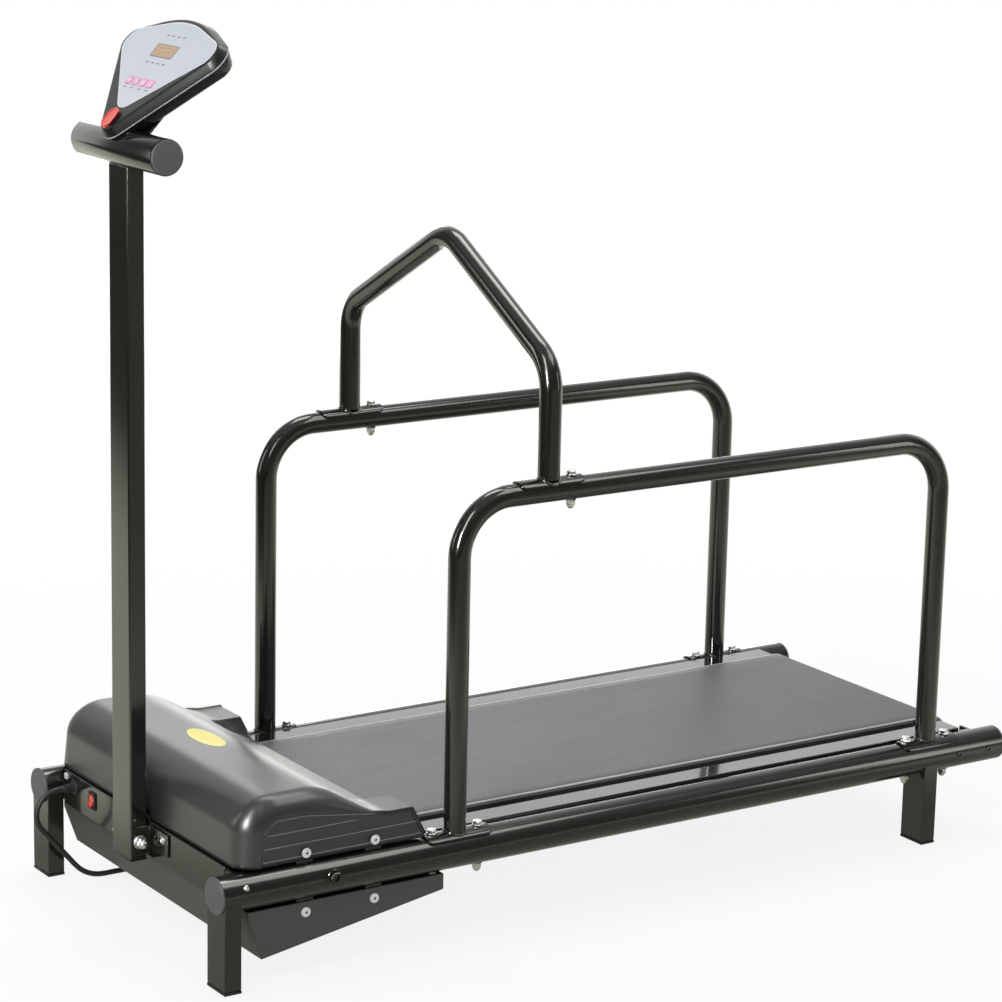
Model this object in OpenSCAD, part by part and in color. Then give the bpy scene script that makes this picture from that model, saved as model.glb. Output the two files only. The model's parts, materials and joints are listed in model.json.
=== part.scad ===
// Dog treadmill: tubular frame with handrails, a harness arch, a motor hood and a console on a post.
// The front is towards -X, the top is +Z, and the origin is on the floor under the middle.

/* [Side rails] */
// Length of each round side rail
rail_len = 1380; // [1200:10:1600]
// Outside diameter of a side rail
rail_d = 52; // [50:1:58]
// Wall of the frame tubes
tube_wall = 2; // [1.5:0.1:3]
// Distance from the belt's edge out to a rail's axis
rail_side = 70; // [68:1:100]
// Height of the rail axes above the floor
rail_z = 136; // [126:1:170]
// Thickness of the flange on a rail's end cap
cap_t = 4; // [2:0.5:8]
// Depth of an end cap's plug in the rail
cap_plug = 18; // [10:1:30]

/* [Legs] */
// Width of a leg across the machine
leg_w = 50; // [40:1:50]
// Depth of a leg along the machine
leg_d = 26; // [20:1:40]
// Thickness of the foot plug's flange
foot_t = 4; // [2:0.5:8]

/* [Handrails] */
// Distance from the rail's front end to the front uprights
handrail_x = 379; // [360:1:382]
// Distance from the rail's rear end to the rear uprights
handrail_rear = 139; // [137:1:220]
// Height of the handrail axis above the rail axis
handrail_h = 500; // [400:5:650]
// Outside diameter of the handrail and arch tube
handrail_d = 32; // [26:1:38]
// Bend radius of the handrail's corners
handrail_bend = 80; // [60:1:86]

/* [Harness arch] */
// Distance from the front uprights back to the arch
arch_back = 145; // [142:1:300]
// Height of the arch's knees above the handrail axis
arch_knee = 177; // [140:1:240]
// Slope of the arch's two upper arms
arch_slope = 29; // [20:1:38]
// Bend radius of the arch's corners
arch_bend = 60; // [45:1:80]

/* [Saddles and bolts] */
// Sheet thickness of the bolted saddles
saddle_t = 3; // [2:0.2:5]
// Length of a saddle along its tube
saddle_len = 106; // [100:1:116]
// Distance between a saddle's two bolt holes
bolt_pitch = 76; // [66:1:80]
// Thread diameter of the saddle bolts
bolt_d = 8; // [6:1:9]

/* [Running belt] */
// Width of the running belt
belt_w = 400; // [340:5:480]
// Thickness of the running belt
belt_t = 2.2; // [1.5:0.1:3]
// Diameter of the two rollers
roller_d = 52; // [44:1:56]
// Height of the roller axles above the rail axes
roller_lift = 5.5; // [4:0.5:8]
// Distance from the rail's front end to the front axle
front_axle_x = 168; // [160:1:180]
// Distance from the rail's rear end to the rear axle
rear_axle_in = 66; // [54:1:72]
// Diameter of the roller axles
axle_d = 17; // [14:0.5:20]
// Thickness of the deck board under the belt
deck_t = 16; // [12:0.5:18]

/* [Motor] */
// Diameter of the motor's case
motor_d = 80; // [70:1:84]
// Length of the motor's case
motor_len = 130; // [110:1:150]
// Pitch radius of the motor's small pulley
motor_pulley_r = 14; // [12:0.5:18]
// Pitch radius of the large pulley on the front roller
drive_pulley_r = 36; // [32:0.5:40]

/* [Hood] */
// Distance from the rail's front end to the hood's front face
hood_front = 31; // [30:0.5:34]
// Length of the hood along the machine
hood_len = 294; // [288:1:300]
// Distance of the hood's sides outside the rail axes
hood_over = 11; // [9:0.5:13]
// Height of the hood's crest above its lower edge
hood_h = 94; // [92:1:110]
// Wall of the moulded hood
hood_wall = 3; // [2:0.2:4]
// Height of the hood's rear ears above its lower edge
ear_h = 45; // [42:1:52]

/* [Belly pan] */
// Distance from the front uprights forward to the belly pan's rear end
pan_back = 23; // [18:1:26]
// Depth of the belly pan at its front
pan_depth = 71; // [55:1:78]
// Sheet thickness of the belly pan and the front panel
sheet_t = 2; // [1:0.2:3]

/* [Console post] */
// Width of the post across the machine
post_w = 56; // [44:1:60]
// Depth of the post along the machine
post_d = 26; // [20:1:28]
// Height of the console bar's axis above the floor
bar_z = 1110; // [1000:5:1250]
// Diameter of the console bar
bar_d = 50; // [40:1:52]
// Length of the console bar between its caps
bar_len = 232; // [200:2:300]

/* [Console] */
// Tilt of the console's face from level
console_tilt = 47; // [35:1:60]
// Distance of the console's face from the bar's axis
face_w = 43; // [41:0.5:48]
// Distance from the bar's axis to the middle of the display, measured along the face
display_v = 132; // [128:1:140]
// Width of the display window
display_w = 58; // [44:1:66]
// Height of the display window
display_h = 19; // [14:1:24]
// Width of one key
key_w = 15; // [11:0.5:16]
// Distance from one key to the next
key_pitch = 20; // [18:0.5:22]
// Travel of a key
key_travel = 0.8; // [0.4:0.1:1]
// Travel of the stop button
stop_travel = 3; // [2:0.5:3.5]

/* [Mains cord] */
// Diameter of the mains cord
cord_d = 8; // [6:0.5:8]
// Turns in each of the two layers of the coiled length
coil_turns = 2; // [1:1:2]

/* [Hidden] */
$fn = 64;

// Clearances
weld_gap = 0.1;
seat_gap = 0.1;
run_gap = 0.05;
belt_gap = 0.3;
slide_gap = 0.3;
cut = 1;

// Paint, plastic and metal colours
paint = [0.06, 0.06, 0.065];
plastic = [0.1, 0.1, 0.11];
zinc = [0.78, 0.78, 0.76];
rubber = [0.05, 0.05, 0.05];

// Radii of the tubes and rollers
rail_r = rail_d / 2;
rail_y = belt_w / 2 + rail_side;
handrail_r = handrail_d / 2;
roller_r = roller_d / 2;
axle_r = axle_d / 2;
bar_r = bar_d / 2;
bolt_r = bolt_d / 2;
bolt_hole_r = bolt_r + 0.3;

// The console's outline: a narrow round foot, two wide upper corners and a crowned top
foot_v = -112;
foot_r = 30;
corner_u = 106;
corner_v = 8;
corner_r = 28;
crown_v = 62;
crown_r = 215;
crown_span = 24;
crown_step = 6;
bezel_h = 12;
bezel_inset = 7;
bezel_wall = 3;

// Places along the machine, measured from the rail's front end
handrail_span = rail_len - handrail_x - handrail_rear;
rear_axle_x = rail_len - rear_axle_in;
post_x = 9;
panel_x = post_x + post_d / 2 + 5;
brace_x = 87;
tab_x = [133, 242];
pan_x = 43;
pan_len = handrail_x - pan_back - pan_x;
front_leg_x = leg_d / 2;
rear_leg_in = 5;
rear_leg_x = handrail_x + handrail_span - rear_leg_in;
arch_x = handrail_x + arch_back;
rear_end = rail_len + cap_t;
stop_drop = 118;
stop_v = display_v - stop_drop;
stop_r = 8.5;
stop_half = 8;
stop_rise = stop_travel + 1;
stop_low = stop_v - stop_half - stop_r;
console_front = stop_low * cos(console_tilt) - (face_w + stop_rise) * sin(console_tilt);
rail_x0 = -(rear_end + post_x + console_front) / 2;

// Heights
roller_z = rail_z + roller_lift;
deck_top = roller_z + roller_r;
belt_in_r = roller_r + belt_gap;
belt_out_r = belt_in_r + belt_t;
cushion_t = 5;
brace_w = 40;
brace_h = 20;
deck_brace_top = deck_top - deck_t - cushion_t;
motor_brace_top = rail_z + 2;
handrail_z = rail_z + handrail_h;
hood_z = rail_z + rail_r + 4;
pan_top = rail_z - rail_r - 3;
post_base = rail_z - rail_r;
post_bolt_z = rail_z + 2;

// Saddle bolts
washer_r = bolt_d * 0.98;
washer_t = 1.6;
head_r = bolt_d * 0.9;
head_h = bolt_d * 0.65;
nut_h = bolt_d * 0.8;
rail_saddle_in = 24;
rail_saddle_out = 46;
arch_saddle_angle = 62;
saddle_x = [handrail_x, handrail_x + handrail_span];

function fx(d) = rail_x0 + d;

// Round bar along X, Y or Z
module bar_along_x(x0, x1, r) { translate([x0, 0, 0]) rotate([0, 90, 0]) cylinder(h = x1 - x0, r = r); }
module bar_along_y(y0, y1, r) { translate([0, y0, 0]) rotate([-90, 0, 0]) cylinder(h = y1 - y0, r = r); }
module bar_along_z(z0, z1, r) { translate([0, 0, z0]) cylinder(h = z1 - z0, r = r); }

// The same thing on either side of the machine's middle plane
module on_side(side) {
    if (side < 0) mirror([0, 1, 0]) children();
    else children();
}

// Block between two corners
module block(low, high) { translate(low) cube(high - low); }

// The space that a side rail takes, with a gap round it
module rail_space(side, gap) {
    translate([rail_x0 - cut, side * rail_y, rail_z])
        bar_along_x(0, rail_len + 2 * cut, rail_r + gap);
}

// Round tube wall as a flat ring
module tube_ring(r) {
    difference() {
        circle(r = r);
        circle(r = r - tube_wall);
    }
}

// Side rails with holes for the saddle bolts, the front axle bolt and the rear bracket's screws
rear_screw_r = 3;
last_bolt_x = handrail_x + handrail_span + bolt_pitch / 2;
rear_screw_ahead = 24;
rear_screw_behind = 36;
screw_apart = 3.5;
rear_screw_x = [
    max(rear_axle_x - rear_screw_ahead, last_bolt_x + bolt_r + rear_screw_r + screw_apart),
    rear_axle_x + rear_screw_behind];
axle_bolt_r = 5;
module side_rail(side) {
    color(paint) difference() {
        translate([rail_x0, side * rail_y, rail_z])
            rotate([0, 90, 0]) linear_extrude(rail_len) tube_ring(rail_r);
        for (x = saddle_x, end = [-1, 1])
            translate([fx(x + end * bolt_pitch / 2), side * rail_y, 0])
                bar_along_z(rail_z - rail_r - cut, rail_z + rail_r + cut, bolt_hole_r);
        translate([fx(front_axle_x), side * rail_y, roller_z])
            bar_along_y(-rail_r - cut, rail_r + cut, axle_bolt_r + slide_gap);
        for (x = rear_screw_x)
            translate([fx(x), side * rail_y, rail_z])
                bar_along_y(-rail_r - cut, rail_r + cut, rear_screw_r + slide_gap);
    }
}
module left_side_rail() { side_rail(-1); }
module right_side_rail() { side_rail(1); }

// Rectangular legs, cut to the underside of the rails
module leg(x, side) {
    difference() {
        translate([fx(x), side * rail_y, foot_t]) linear_extrude(rail_z - foot_t) difference() {
            square([leg_d, leg_w], center = true);
            square([leg_d - 2 * tube_wall, leg_w - 2 * tube_wall], center = true);
        }
        rail_space(side, weld_gap);
    }
}
module leg_pair(x) { color(paint) for (side = [-1, 1]) leg(x, side); }
module front_legs() { leg_pair(front_leg_x); }
module rear_legs() { leg_pair(rear_leg_x); }

// Plastic plugs that close the legs and stand on the floor
foot_plug = 14;
module leg_feet() {
    inner = [leg_d - 2 * tube_wall - slide_gap, leg_w - 2 * tube_wall - slide_gap];
    color(rubber) for (x = [front_leg_x, rear_leg_x], side = [-1, 1])
        translate([fx(x), side * rail_y, 0]) {
            translate([0, 0, foot_t / 2]) cube([leg_d, leg_w, foot_t], center = true);
            translate([0, 0, (foot_t + foot_plug) / 2])
                cube([inner[0], inner[1], foot_t + foot_plug], center = true);
        }
}

// Round plugs in the ends of the rails, with a rounded rim
cap_round = 2;
module end_cap(flange_r, plug_r) {
    rotate_extrude() union() {
        square([flange_r - cap_round, cap_t]);
        square([flange_r, cap_t - cap_round]);
        intersection() {
            translate([flange_r - cap_round, cap_t - cap_round]) circle(r = cap_round);
            square([flange_r, cap_t]);
        }
        translate([0, -cap_plug]) square([plug_r, cap_plug + cap_t / 2]);
    }
}
module rail_end_caps() {
    plug_r = rail_r - tube_wall - slide_gap;
    color(plastic) for (side = [-1, 1]) {
        translate([fx(0), side * rail_y, rail_z]) rotate([0, -90, 0]) end_cap(rail_r, plug_r);
        translate([fx(rail_len), side * rail_y, rail_z]) rotate([0, 90, 0]) end_cap(rail_r, plug_r);
    }
}

// Rectangular tubes between the rails: one under the motor and three under the deck
deck_brace_in = [162, 204];
deck_brace_ends = [front_axle_x + deck_brace_in[0], rear_axle_x - deck_brace_in[1]];
deck_brace_x = [deck_brace_ends[0], (deck_brace_ends[0] + deck_brace_ends[1]) / 2, deck_brace_ends[1]];
module brace(x, top) {
    difference() {
        translate([fx(x), 0, top - brace_h / 2]) rotate([90, 0, 0])
            linear_extrude(2 * rail_y, center = true) difference() {
                square([brace_w, brace_h], center = true);
                square([brace_w - 2 * tube_wall, brace_h - 2 * tube_wall], center = true);
            }
        for (side = [-1, 1]) rail_space(side, weld_gap);
    }
}
module cross_braces() {
    color(paint) {
        brace(brace_x, motor_brace_top);
        for (x = deck_brace_x) brace(x, deck_brace_top);
    }
}

// Folded front panel between the rails, with the switch cut-out and the cord hole
panel_flange = 14;
panel_low = rail_z - rail_r + 2;
panel_high = rail_z + rail_r + 2;
panel_half = rail_y - rail_r - seat_gap;
switch_side = 118;
switch_y = rail_y - switch_side;
switch_z = rail_z + 6;
switch_cut = [17, 23];
gland_side = 60;
gland_y = rail_y - gland_side;
gland_z = rail_z + 10;
gland_hole_r = 8;
bracket_screw_y = 72;
bracket_screw_z = rail_z + 14;
bracket_screw_r = 3;
module front_panel() {
    x = fx(panel_x);
    color(paint) difference() {
        union() {
            block([x, -panel_half, panel_low], [x + sheet_t, panel_half, panel_high]);
            for (z = [panel_low, panel_high - sheet_t])
                block([x, -panel_half, z], [x + panel_flange, panel_half, z + sheet_t]);
        }
        translate([x + sheet_t / 2, switch_y, switch_z])
            cube([sheet_t + 2 * cut, switch_cut[0], switch_cut[1]], center = true);
        translate([x, gland_y, gland_z]) bar_along_x(-cut, sheet_t + cut, gland_hole_r + slide_gap);
        for (side = [-1, 1])
            translate([x, side * bracket_screw_y, bracket_screw_z])
                bar_along_x(-cut, sheet_t + cut, bracket_screw_r + slide_gap);
    }
}

// Upright tabs welded to the rails, which the hood and the belly pan are screwed to
tab_t = 3;
tab_w = 26;
tab_reach = 18;
screw_r = 2.5;
hood_line = 44;
hood_draft = 3;
hood_side = rail_y + hood_over;
pan_over = 10.5;
pan_side = rail_y + pan_over;
hood_screw_z = hood_z + 11;
pan_screw_z = pan_top - 15;
hood_tab_y = hood_side - hood_wall - hood_draft * tab_reach / hood_line - slide_gap - tab_t / 2;
pan_tab_y = pan_side - sheet_t - slide_gap - tab_t / 2;
module cover_tabs() {
    color(paint) for (x = tab_x, side = [-1, 1]) {
        difference() {
            union() {
                translate([fx(x), side * hood_tab_y, (rail_z + hood_z + tab_reach) / 2])
                    cube([tab_w, tab_t, hood_z + tab_reach - rail_z], center = true);
                translate([fx(x), side * pan_tab_y, (rail_z + pan_top - tab_reach) / 2])
                    cube([tab_w, tab_t, rail_z - pan_top + tab_reach], center = true);
            }
            rail_space(side, weld_gap);
            for (z = [hood_screw_z, pan_screw_z])
                translate([fx(x), side * rail_y, z]) bar_along_y(-rail_r, rail_r, screw_r + slide_gap);
        }
    }
}

// Ledge plates beside the belt: a flat top with an outer lip on the rail and an inner lip by the deck
ledge_t = 3;
ledge_front = 300;
ledge_rear = rear_axle_x + 10;
ledge_top = rail_z + rail_r + 1.5;
ledge_out = rail_y - handrail_r - 2 * slide_gap;
deck_side = 7;
ledge_gap = 3;
deck_half = belt_w / 2 + deck_side;
ledge_in = deck_half + ledge_gap;
ledge_lip = ledge_top - roller_z - axle_r - 2;
module ledge() {
    color(paint) difference() {
        translate([fx(ledge_front), 0, 0]) rotate([90, 0, 90])
            linear_extrude(ledge_rear - ledge_front) union() {
                translate([ledge_in, ledge_top - ledge_t]) square([ledge_out - ledge_in, ledge_t]);
                translate([ledge_in, ledge_top - ledge_lip]) square([ledge_t, ledge_lip]);
                translate([ledge_out - ledge_t, rail_z]) square([ledge_t, ledge_top - rail_z]);
            }
        rail_space(1, weld_gap);
    }
}
module left_ledge() { on_side(-1) ledge(); }
module right_ledge() { on_side(1) ledge(); }

// Deck board under the belt, on rubber cushions
deck_gap = 12;
deck_x = [front_axle_x + belt_out_r + deck_gap, rear_axle_x - belt_out_r - deck_gap];
module deck_board() {
    color("tan")
        block([fx(deck_x[0]), -deck_half, deck_top - deck_t], [fx(deck_x[1]), deck_half, deck_top]);
}
cushion_d = 28;
cushion_in = 57;
cushion_y = deck_half - cushion_in;
module deck_cushions() {
    color(rubber) for (x = deck_brace_x, side = [-1, 1])
        translate([fx(x), side * cushion_y, deck_brace_top]) cylinder(h = cushion_t, d = cushion_d);
}

// The running belt, a closed band round both rollers
module belt_loop(r) {
    for (x = [front_axle_x, rear_axle_x]) translate([x, 0]) circle(r = r);
    translate([front_axle_x, -r]) square([rear_axle_x - front_axle_x, 2 * r]);
}
module running_belt() {
    color([0.2, 0.2, 0.21]) translate([rail_x0, 0, roller_z]) rotate([90, 0, 0])
        linear_extrude(belt_w, center = true) difference() {
            belt_loop(belt_out_r);
            belt_loop(belt_in_r);
        }
}

// Rollers: a drum with end discs on a fixed axle
drum_wall = 3;
drum_side = 6;
drum_half = belt_w / 2 + drum_side;
disc_t = 14;
axle_half = rail_y - rail_r - seat_gap;
thread_depth = 25;
module drum(x) {
    color(zinc) translate([fx(x), 0, roller_z]) rotate([90, 0, 0]) rotate_extrude() union() {
        translate([roller_r - drum_wall, -drum_half]) square([drum_wall, 2 * drum_half]);
        for (y = [-drum_half, drum_half - disc_t])
            translate([axle_r + run_gap, y]) square([roller_r - drum_wall / 2 - axle_r - run_gap, disc_t]);
    }
}
module front_axle() {
    color(zinc) translate([fx(front_axle_x), 0, roller_z]) difference() {
        bar_along_y(-axle_half, axle_half, axle_r);
        for (side = [-1, 1])
            translate([0, side * axle_half, 0])
                bar_along_y(-thread_depth, thread_depth, axle_bolt_r + seat_gap);
    }
}
module front_roller() { drum(front_axle_x); }

// The front roller's belt pulley, fixed to the drum's right-hand end disc
pulley_w = 18;
pulley_y = drum_half + 2;
pulley_rim = 2;
module drive_pulley() {
    color(zinc) translate([fx(front_axle_x), pulley_y, roller_z]) rotate([-90, 0, 0]) difference() {
        union() {
            translate([0, 0, drum_half - pulley_y])
                cylinder(h = pulley_w + pulley_y - drum_half, r = roller_r / 2);
            cylinder(h = pulley_w, r = drive_pulley_r - belt_gap);
            for (z = [0, pulley_w - pulley_rim]) translate([0, 0, z])
                cylinder(h = pulley_rim, r = drive_pulley_r + 4);
        }
        translate([0, 0, -pulley_w]) cylinder(h = 3 * pulley_w, r = axle_r + run_gap);
    }
}

// Rear axle, whose ends sit in slotted brackets
rear_axle_half = axle_half - seat_gap;
module rear_axle() {
    color(zinc) translate([fx(rear_axle_x), 0, roller_z])
        bar_along_y(-rear_axle_half, rear_axle_half, axle_r);
}
module rear_roller() { drum(rear_axle_x); }

// Brackets on the rails' inner sides, with a slot for the axle and a lug for the tension bolt
bracket_t = 5;
bracket_half = 17;
bracket_low = rail_z - bracket_half;
bracket_high = rail_z + bracket_half;
slot_len = 10;
lug_reach = 18;
lug_gap = 12;
lug_x = rear_axle_x + belt_out_r + lug_gap;
lug_t = 5;
bracket_ahead = 12;
bracket_ends = [rear_screw_x[0] - bracket_ahead, lug_x + lug_t];
tension_r = 4;
module rear_axle_brackets() {
    inner = panel_half - bracket_t;
    color(paint) for (side = [-1, 1]) on_side(side) difference() {
        union() {
            block([fx(bracket_ends[0]), inner, bracket_low], [fx(bracket_ends[1]), panel_half, bracket_high]);
            block([fx(lug_x), inner - lug_reach, bracket_low], [fx(lug_x + lug_t), inner, bracket_high]);
        }
        for (x = [-slot_len / 2, slot_len / 2])
            translate([fx(rear_axle_x) + x, inner, roller_z])
                bar_along_y(-cut, bracket_t + cut, axle_r + seat_gap);
        translate([fx(rear_axle_x), inner + bracket_t / 2, roller_z])
            cube([slot_len, bracket_t + 2 * cut, axle_d + 2 * seat_gap], center = true);
        for (x = rear_screw_x)
            translate([fx(x), inner, rail_z]) bar_along_y(-cut, bracket_t + cut, rear_screw_r + slide_gap);
        translate([fx(lug_x), inner - lug_reach / 2, roller_z])
            bar_along_x(-cut, lug_t + cut, tension_r + slide_gap);
    }
}

// Hex bolts through the rails into the front axle
axle_flange_r = 11;
axle_flange_t = 2.5;
axle_head_h = 7;
module front_axle_bolts() {
    color(paint) for (side = [-1, 1]) translate([fx(front_axle_x), 0, roller_z])
        on_side(side) {
            bar_along_y(axle_half - thread_depth + cut, rail_y + rail_r + seat_gap, axle_bolt_r);
            translate([0, rail_y + rail_r + seat_gap, 0]) {
                bar_along_y(0, axle_flange_t, axle_flange_r);
                rotate([-90, 0, 0]) cylinder(h = axle_flange_t + axle_head_h, r = axle_bolt_r * 1.8, $fn = 6);
            }
        }
}

// Small round-headed screws that hold the rear brackets through the rails
rear_head_r = 5;
rear_head_h = 3;
module rear_bracket_screws() {
    color(paint) for (x = rear_screw_x, side = [-1, 1])
        translate([fx(x), 0, rail_z]) on_side(side) {
            bar_along_y(panel_half - bracket_t, rail_y + rail_r + seat_gap, rear_screw_r);
            translate([0, rail_y + rail_r + seat_gap, 0]) bar_along_y(0, rear_head_h, rear_head_r);
        }
}

// Tension bolts that press on the rear axle
tension_head_h = 6;
module tension_bolts() {
    y = panel_half - bracket_t - lug_reach / 2;
    color(zinc) for (side = [-1, 1]) translate([fx(rear_axle_x), side * y, roller_z]) {
        bar_along_x(axle_r + seat_gap, lug_x + lug_t - rear_axle_x, tension_r);
        translate([lug_x + lug_t - rear_axle_x, 0, 0]) rotate([0, 90, 0])
            cylinder(h = tension_head_h, r = tension_r * 1.75, $fn = 6);
    }
}

// Curved saddle on a tube that runs along X, with two bolt holes and a vent into the welded tube:
// its two angles are from straight up
vent_r = 5;
module saddle(tube_r, angle_a, angle_b) {
    outer = tube_r + weld_gap + saddle_t;
    reach = 2 * outer;
    steps = 6;
    difference() {
        rotate([90, 0, 90]) linear_extrude(saddle_len, center = true) intersection() {
            difference() {
                circle(r = outer);
                circle(r = tube_r + weld_gap);
            }
            polygon(concat([[0, 0]], [for (i = [0:steps])
                let (a = angle_a + (angle_b - angle_a) * i / steps) reach * [sin(a), cos(a)]]));
        }
        for (end = [-1, 1])
            translate([end * bolt_pitch / 2, 0, 0]) bar_along_z(0, outer + cut, bolt_hole_r);
        bar_along_z(0, outer + cut, vent_r);
    }
}

// Handrail: two uprights, two bends and a top bar, welded to a saddle at each foot
module handrail(side) {
    in_a = side < 0 ? -rail_saddle_out : -rail_saddle_in;
    in_b = side < 0 ? rail_saddle_in : rail_saddle_out;
    straight = handrail_z - handrail_bend - rail_z;
    weld_r = rail_r + weld_gap + saddle_t / 2;
    color(paint) translate([fx(handrail_x), side * rail_y, 0]) difference() {
        union() {
            for (x = [0, handrail_span]) {
                translate([x, 0, rail_z]) saddle(rail_r, in_a, in_b);
                difference() {
                    translate([x, 0, rail_z]) linear_extrude(straight) tube_ring(handrail_r);
                    translate([x, 0, rail_z]) bar_along_x(-saddle_len, saddle_len, weld_r);
                }
            }
            translate([handrail_bend, 0, handrail_z - handrail_bend])
                rotate([90, 0, 0]) rotate([0, 0, 90]) rotate_extrude(angle = 90)
                    translate([handrail_bend, 0]) tube_ring(handrail_r);
            translate([handrail_span - handrail_bend, 0, handrail_z - handrail_bend])
                rotate([90, 0, 0]) rotate_extrude(angle = 90)
                    translate([handrail_bend, 0]) tube_ring(handrail_r);
            translate([handrail_bend, 0, handrail_z]) rotate([0, 90, 0])
                linear_extrude(handrail_span - 2 * handrail_bend) tube_ring(handrail_r);
        }
        translate([arch_x + bolt_pitch / 2 - handrail_x, 0, handrail_z])
            bar_along_z(-handrail_r - cut, handrail_r + cut, bolt_hole_r);
    }
}
module left_handrail() { handrail(-1); }
module right_handrail() { handrail(1); }

// Harness arch: one tube bent at two knees and a peak, with a saddle welded to each foot
knee_turn = 90 - arch_slope;
knee_cut = arch_bend * tan(knee_turn / 2);
peak_cut = arch_bend * tan(arch_slope);
arm_len = rail_y / cos(arch_slope) - knee_cut - peak_cut;
// A straight run or a bend of the arch, and whatever goes on from its end
module run_then(length) {
    translate([arch_bend, length, 0]) rotate([90, 0, 0]) linear_extrude(length) tube_ring(handrail_r);
    translate([0, length, 0]) children();
}
module bend_then(angle) {
    rotate_extrude(angle = angle) translate([arch_bend, 0]) tube_ring(handrail_r);
    rotate([0, 0, angle]) children();
}
// Half of the arch, cut off square at the machine's middle plane
module arch_half() {
    weld_r = handrail_r + weld_gap + saddle_t / 2;
    foot = arch_knee - knee_cut;
    past_peak = 4;
    reach = 4 * rail_y;
    difference() {
        translate([0, rail_y - arch_bend, 0]) rotate([90, 0, 90])
            run_then(foot) bend_then(knee_turn) run_then(arm_len) bend_then(arch_slope + past_peak);
        translate([0, rail_y, 0]) bar_along_x(-saddle_len, saddle_len, weld_r);
        block([-reach, -reach, -reach], [reach, 0, reach]);
    }
}
module harness_arch() {
    color(paint) translate([fx(arch_x), 0, handrail_z]) for (side = [-1, 1]) {
        on_side(side) arch_half();
        translate([0, side * rail_y, 0]) saddle(handrail_r, -arch_saddle_angle, arch_saddle_angle);
    }
}

// Bolts and domed nuts that hold the saddles: each clamps from a crest down to a tube's underside
module clamp_bolt(crest, under) {
    translate([0, 0, crest + seat_gap]) {
        cylinder(h = washer_t, r = washer_r);
        translate([0, 0, washer_t]) cylinder(h = head_h, r = head_r, $fn = 6);
    }
    bar_along_z(under - washer_t - nut_h, crest + seat_gap + cut, bolt_r);
}
module clamp_nut(under) {
    dome_r = bolt_r * 1.4;
    difference() {
        translate([0, 0, under - seat_gap]) union() {
            translate([0, 0, -washer_t]) cylinder(h = washer_t, r = washer_r);
            translate([0, 0, -washer_t - nut_h]) cylinder(h = nut_h, r = head_r, $fn = 6);
            translate([0, 0, -washer_t - nut_h]) sphere(r = dome_r);
        }
        bar_along_z(under - washer_t - nut_h - seat_gap, under, bolt_r + seat_gap);
    }
}
rail_crest = rail_z + rail_r + weld_gap + saddle_t;
arch_crest = handrail_z + handrail_r + weld_gap + saddle_t;
module at_saddle_bolts() {
    for (side = [-1, 1], x = saddle_x, end = [-1, 1])
        translate([fx(x + end * bolt_pitch / 2), side * rail_y, 0]) children(0);
    for (side = [-1, 1])
        translate([fx(arch_x + bolt_pitch / 2), side * rail_y, 0]) children(1);
}
module saddle_bolts() {
    color(zinc) at_saddle_bolts() {
        clamp_bolt(rail_crest, rail_z - rail_r);
        clamp_bolt(arch_crest, handrail_z - handrail_r);
    }
}
module saddle_nuts() {
    color(zinc) at_saddle_bolts() {
        clamp_nut(rail_z - rail_r);
        clamp_nut(handrail_z - handrail_r);
    }
}

// Moulded hood: a shell whose upper skin is a height over its plan, with a skirt at three sides
hood_corner = 36;
front_round = 64;
side_round = 30;
lip_h = 10;
lip_in = 7;
crest_end = 137;
crest_soft = 30;
ear_w = 69;
ear_in = hood_side - ear_w;
ear_wall = 6;
ear_soft = 9;
ear_slant = 21;
ear_foot = 4;
panel_h = 64;
panel_rise = [30, 62];
panel_fall = 105;
roll_rows = 8;
span_cols = 6;
roll_cols = 5;
hood_slope = (hood_h - lip_h) / (hood_len - lip_in - crest_end);
// Distance behind the front face at which the slope reaches a height
function slope_at(h) = crest_end + (hood_h - h) / hood_slope;
function clamped(t) = min(1, max(0, t));
function smooth(t) = let (u = clamped(t)) u * u * (3 - 2 * u);
function mix(a, b, t) = a + (b - a) * t;
function between(pair, x) = (x - pair[0]) / (pair[1] - pair[0]);
// A bend from level to sloping, rounded over a width at each side
function soft(x, width) = x < -width ? 0 : x > width ? x : (x + width) * (x + width) / (4 * width);
// How far into a rounded edge of some width a place lies, and the share of the edge's drop there
function into_edge(distance, width) = clamped(1 - distance / width);
function round_drop(t) = 1 - sqrt(1 - min(1, t * t));
// Front and rear edges of the plan at a distance from the middle plane
function plan_front(y, half) =
    let (over = max(0, abs(y) - half + hood_corner))
    hood_corner - sqrt(max(0, hood_corner * hood_corner - over * over));
function ear_share(y, inset) = clamped((abs(y) - ear_in + ear_wall - inset) / ear_wall);
function plan_rear(y, inset) = hood_len - lip_in * (1 - ear_share(y, inset));
// Height of the upper skin before its edges are rounded: a crest, a slope and a flat ear at each rear corner
function slope_height(s) = hood_h - hood_slope * soft(s - crest_end, crest_soft);
function ear_height(s, inset) = min(
    ear_h + soft(slope_height(s) - ear_h, ear_soft),
    mix(ear_foot, ear_h, max(0, hood_len - inset - s) / ear_slant));
// Height at which the side panel ends and the rounded edge above it begins
function panel_top(s) =
    mix(hood_line, panel_h, smooth(between(panel_rise, s)))
    - (panel_h - ear_h) * clamped(between([panel_fall, slope_at(ear_h - ear_soft)], s));
function hood_height(s, y, s0, half, inset) =
    let (shape = mix(slope_height(s), ear_height(s, inset), ear_share(y, inset)))
    let (edge = min(panel_top(s), shape))
    let (front = into_edge(s - s0, front_round - inset))
    let (side = into_edge(half - abs(y), side_round - inset))
    shape - (shape - edge) * round_drop(norm([front, side])) - inset;
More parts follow.
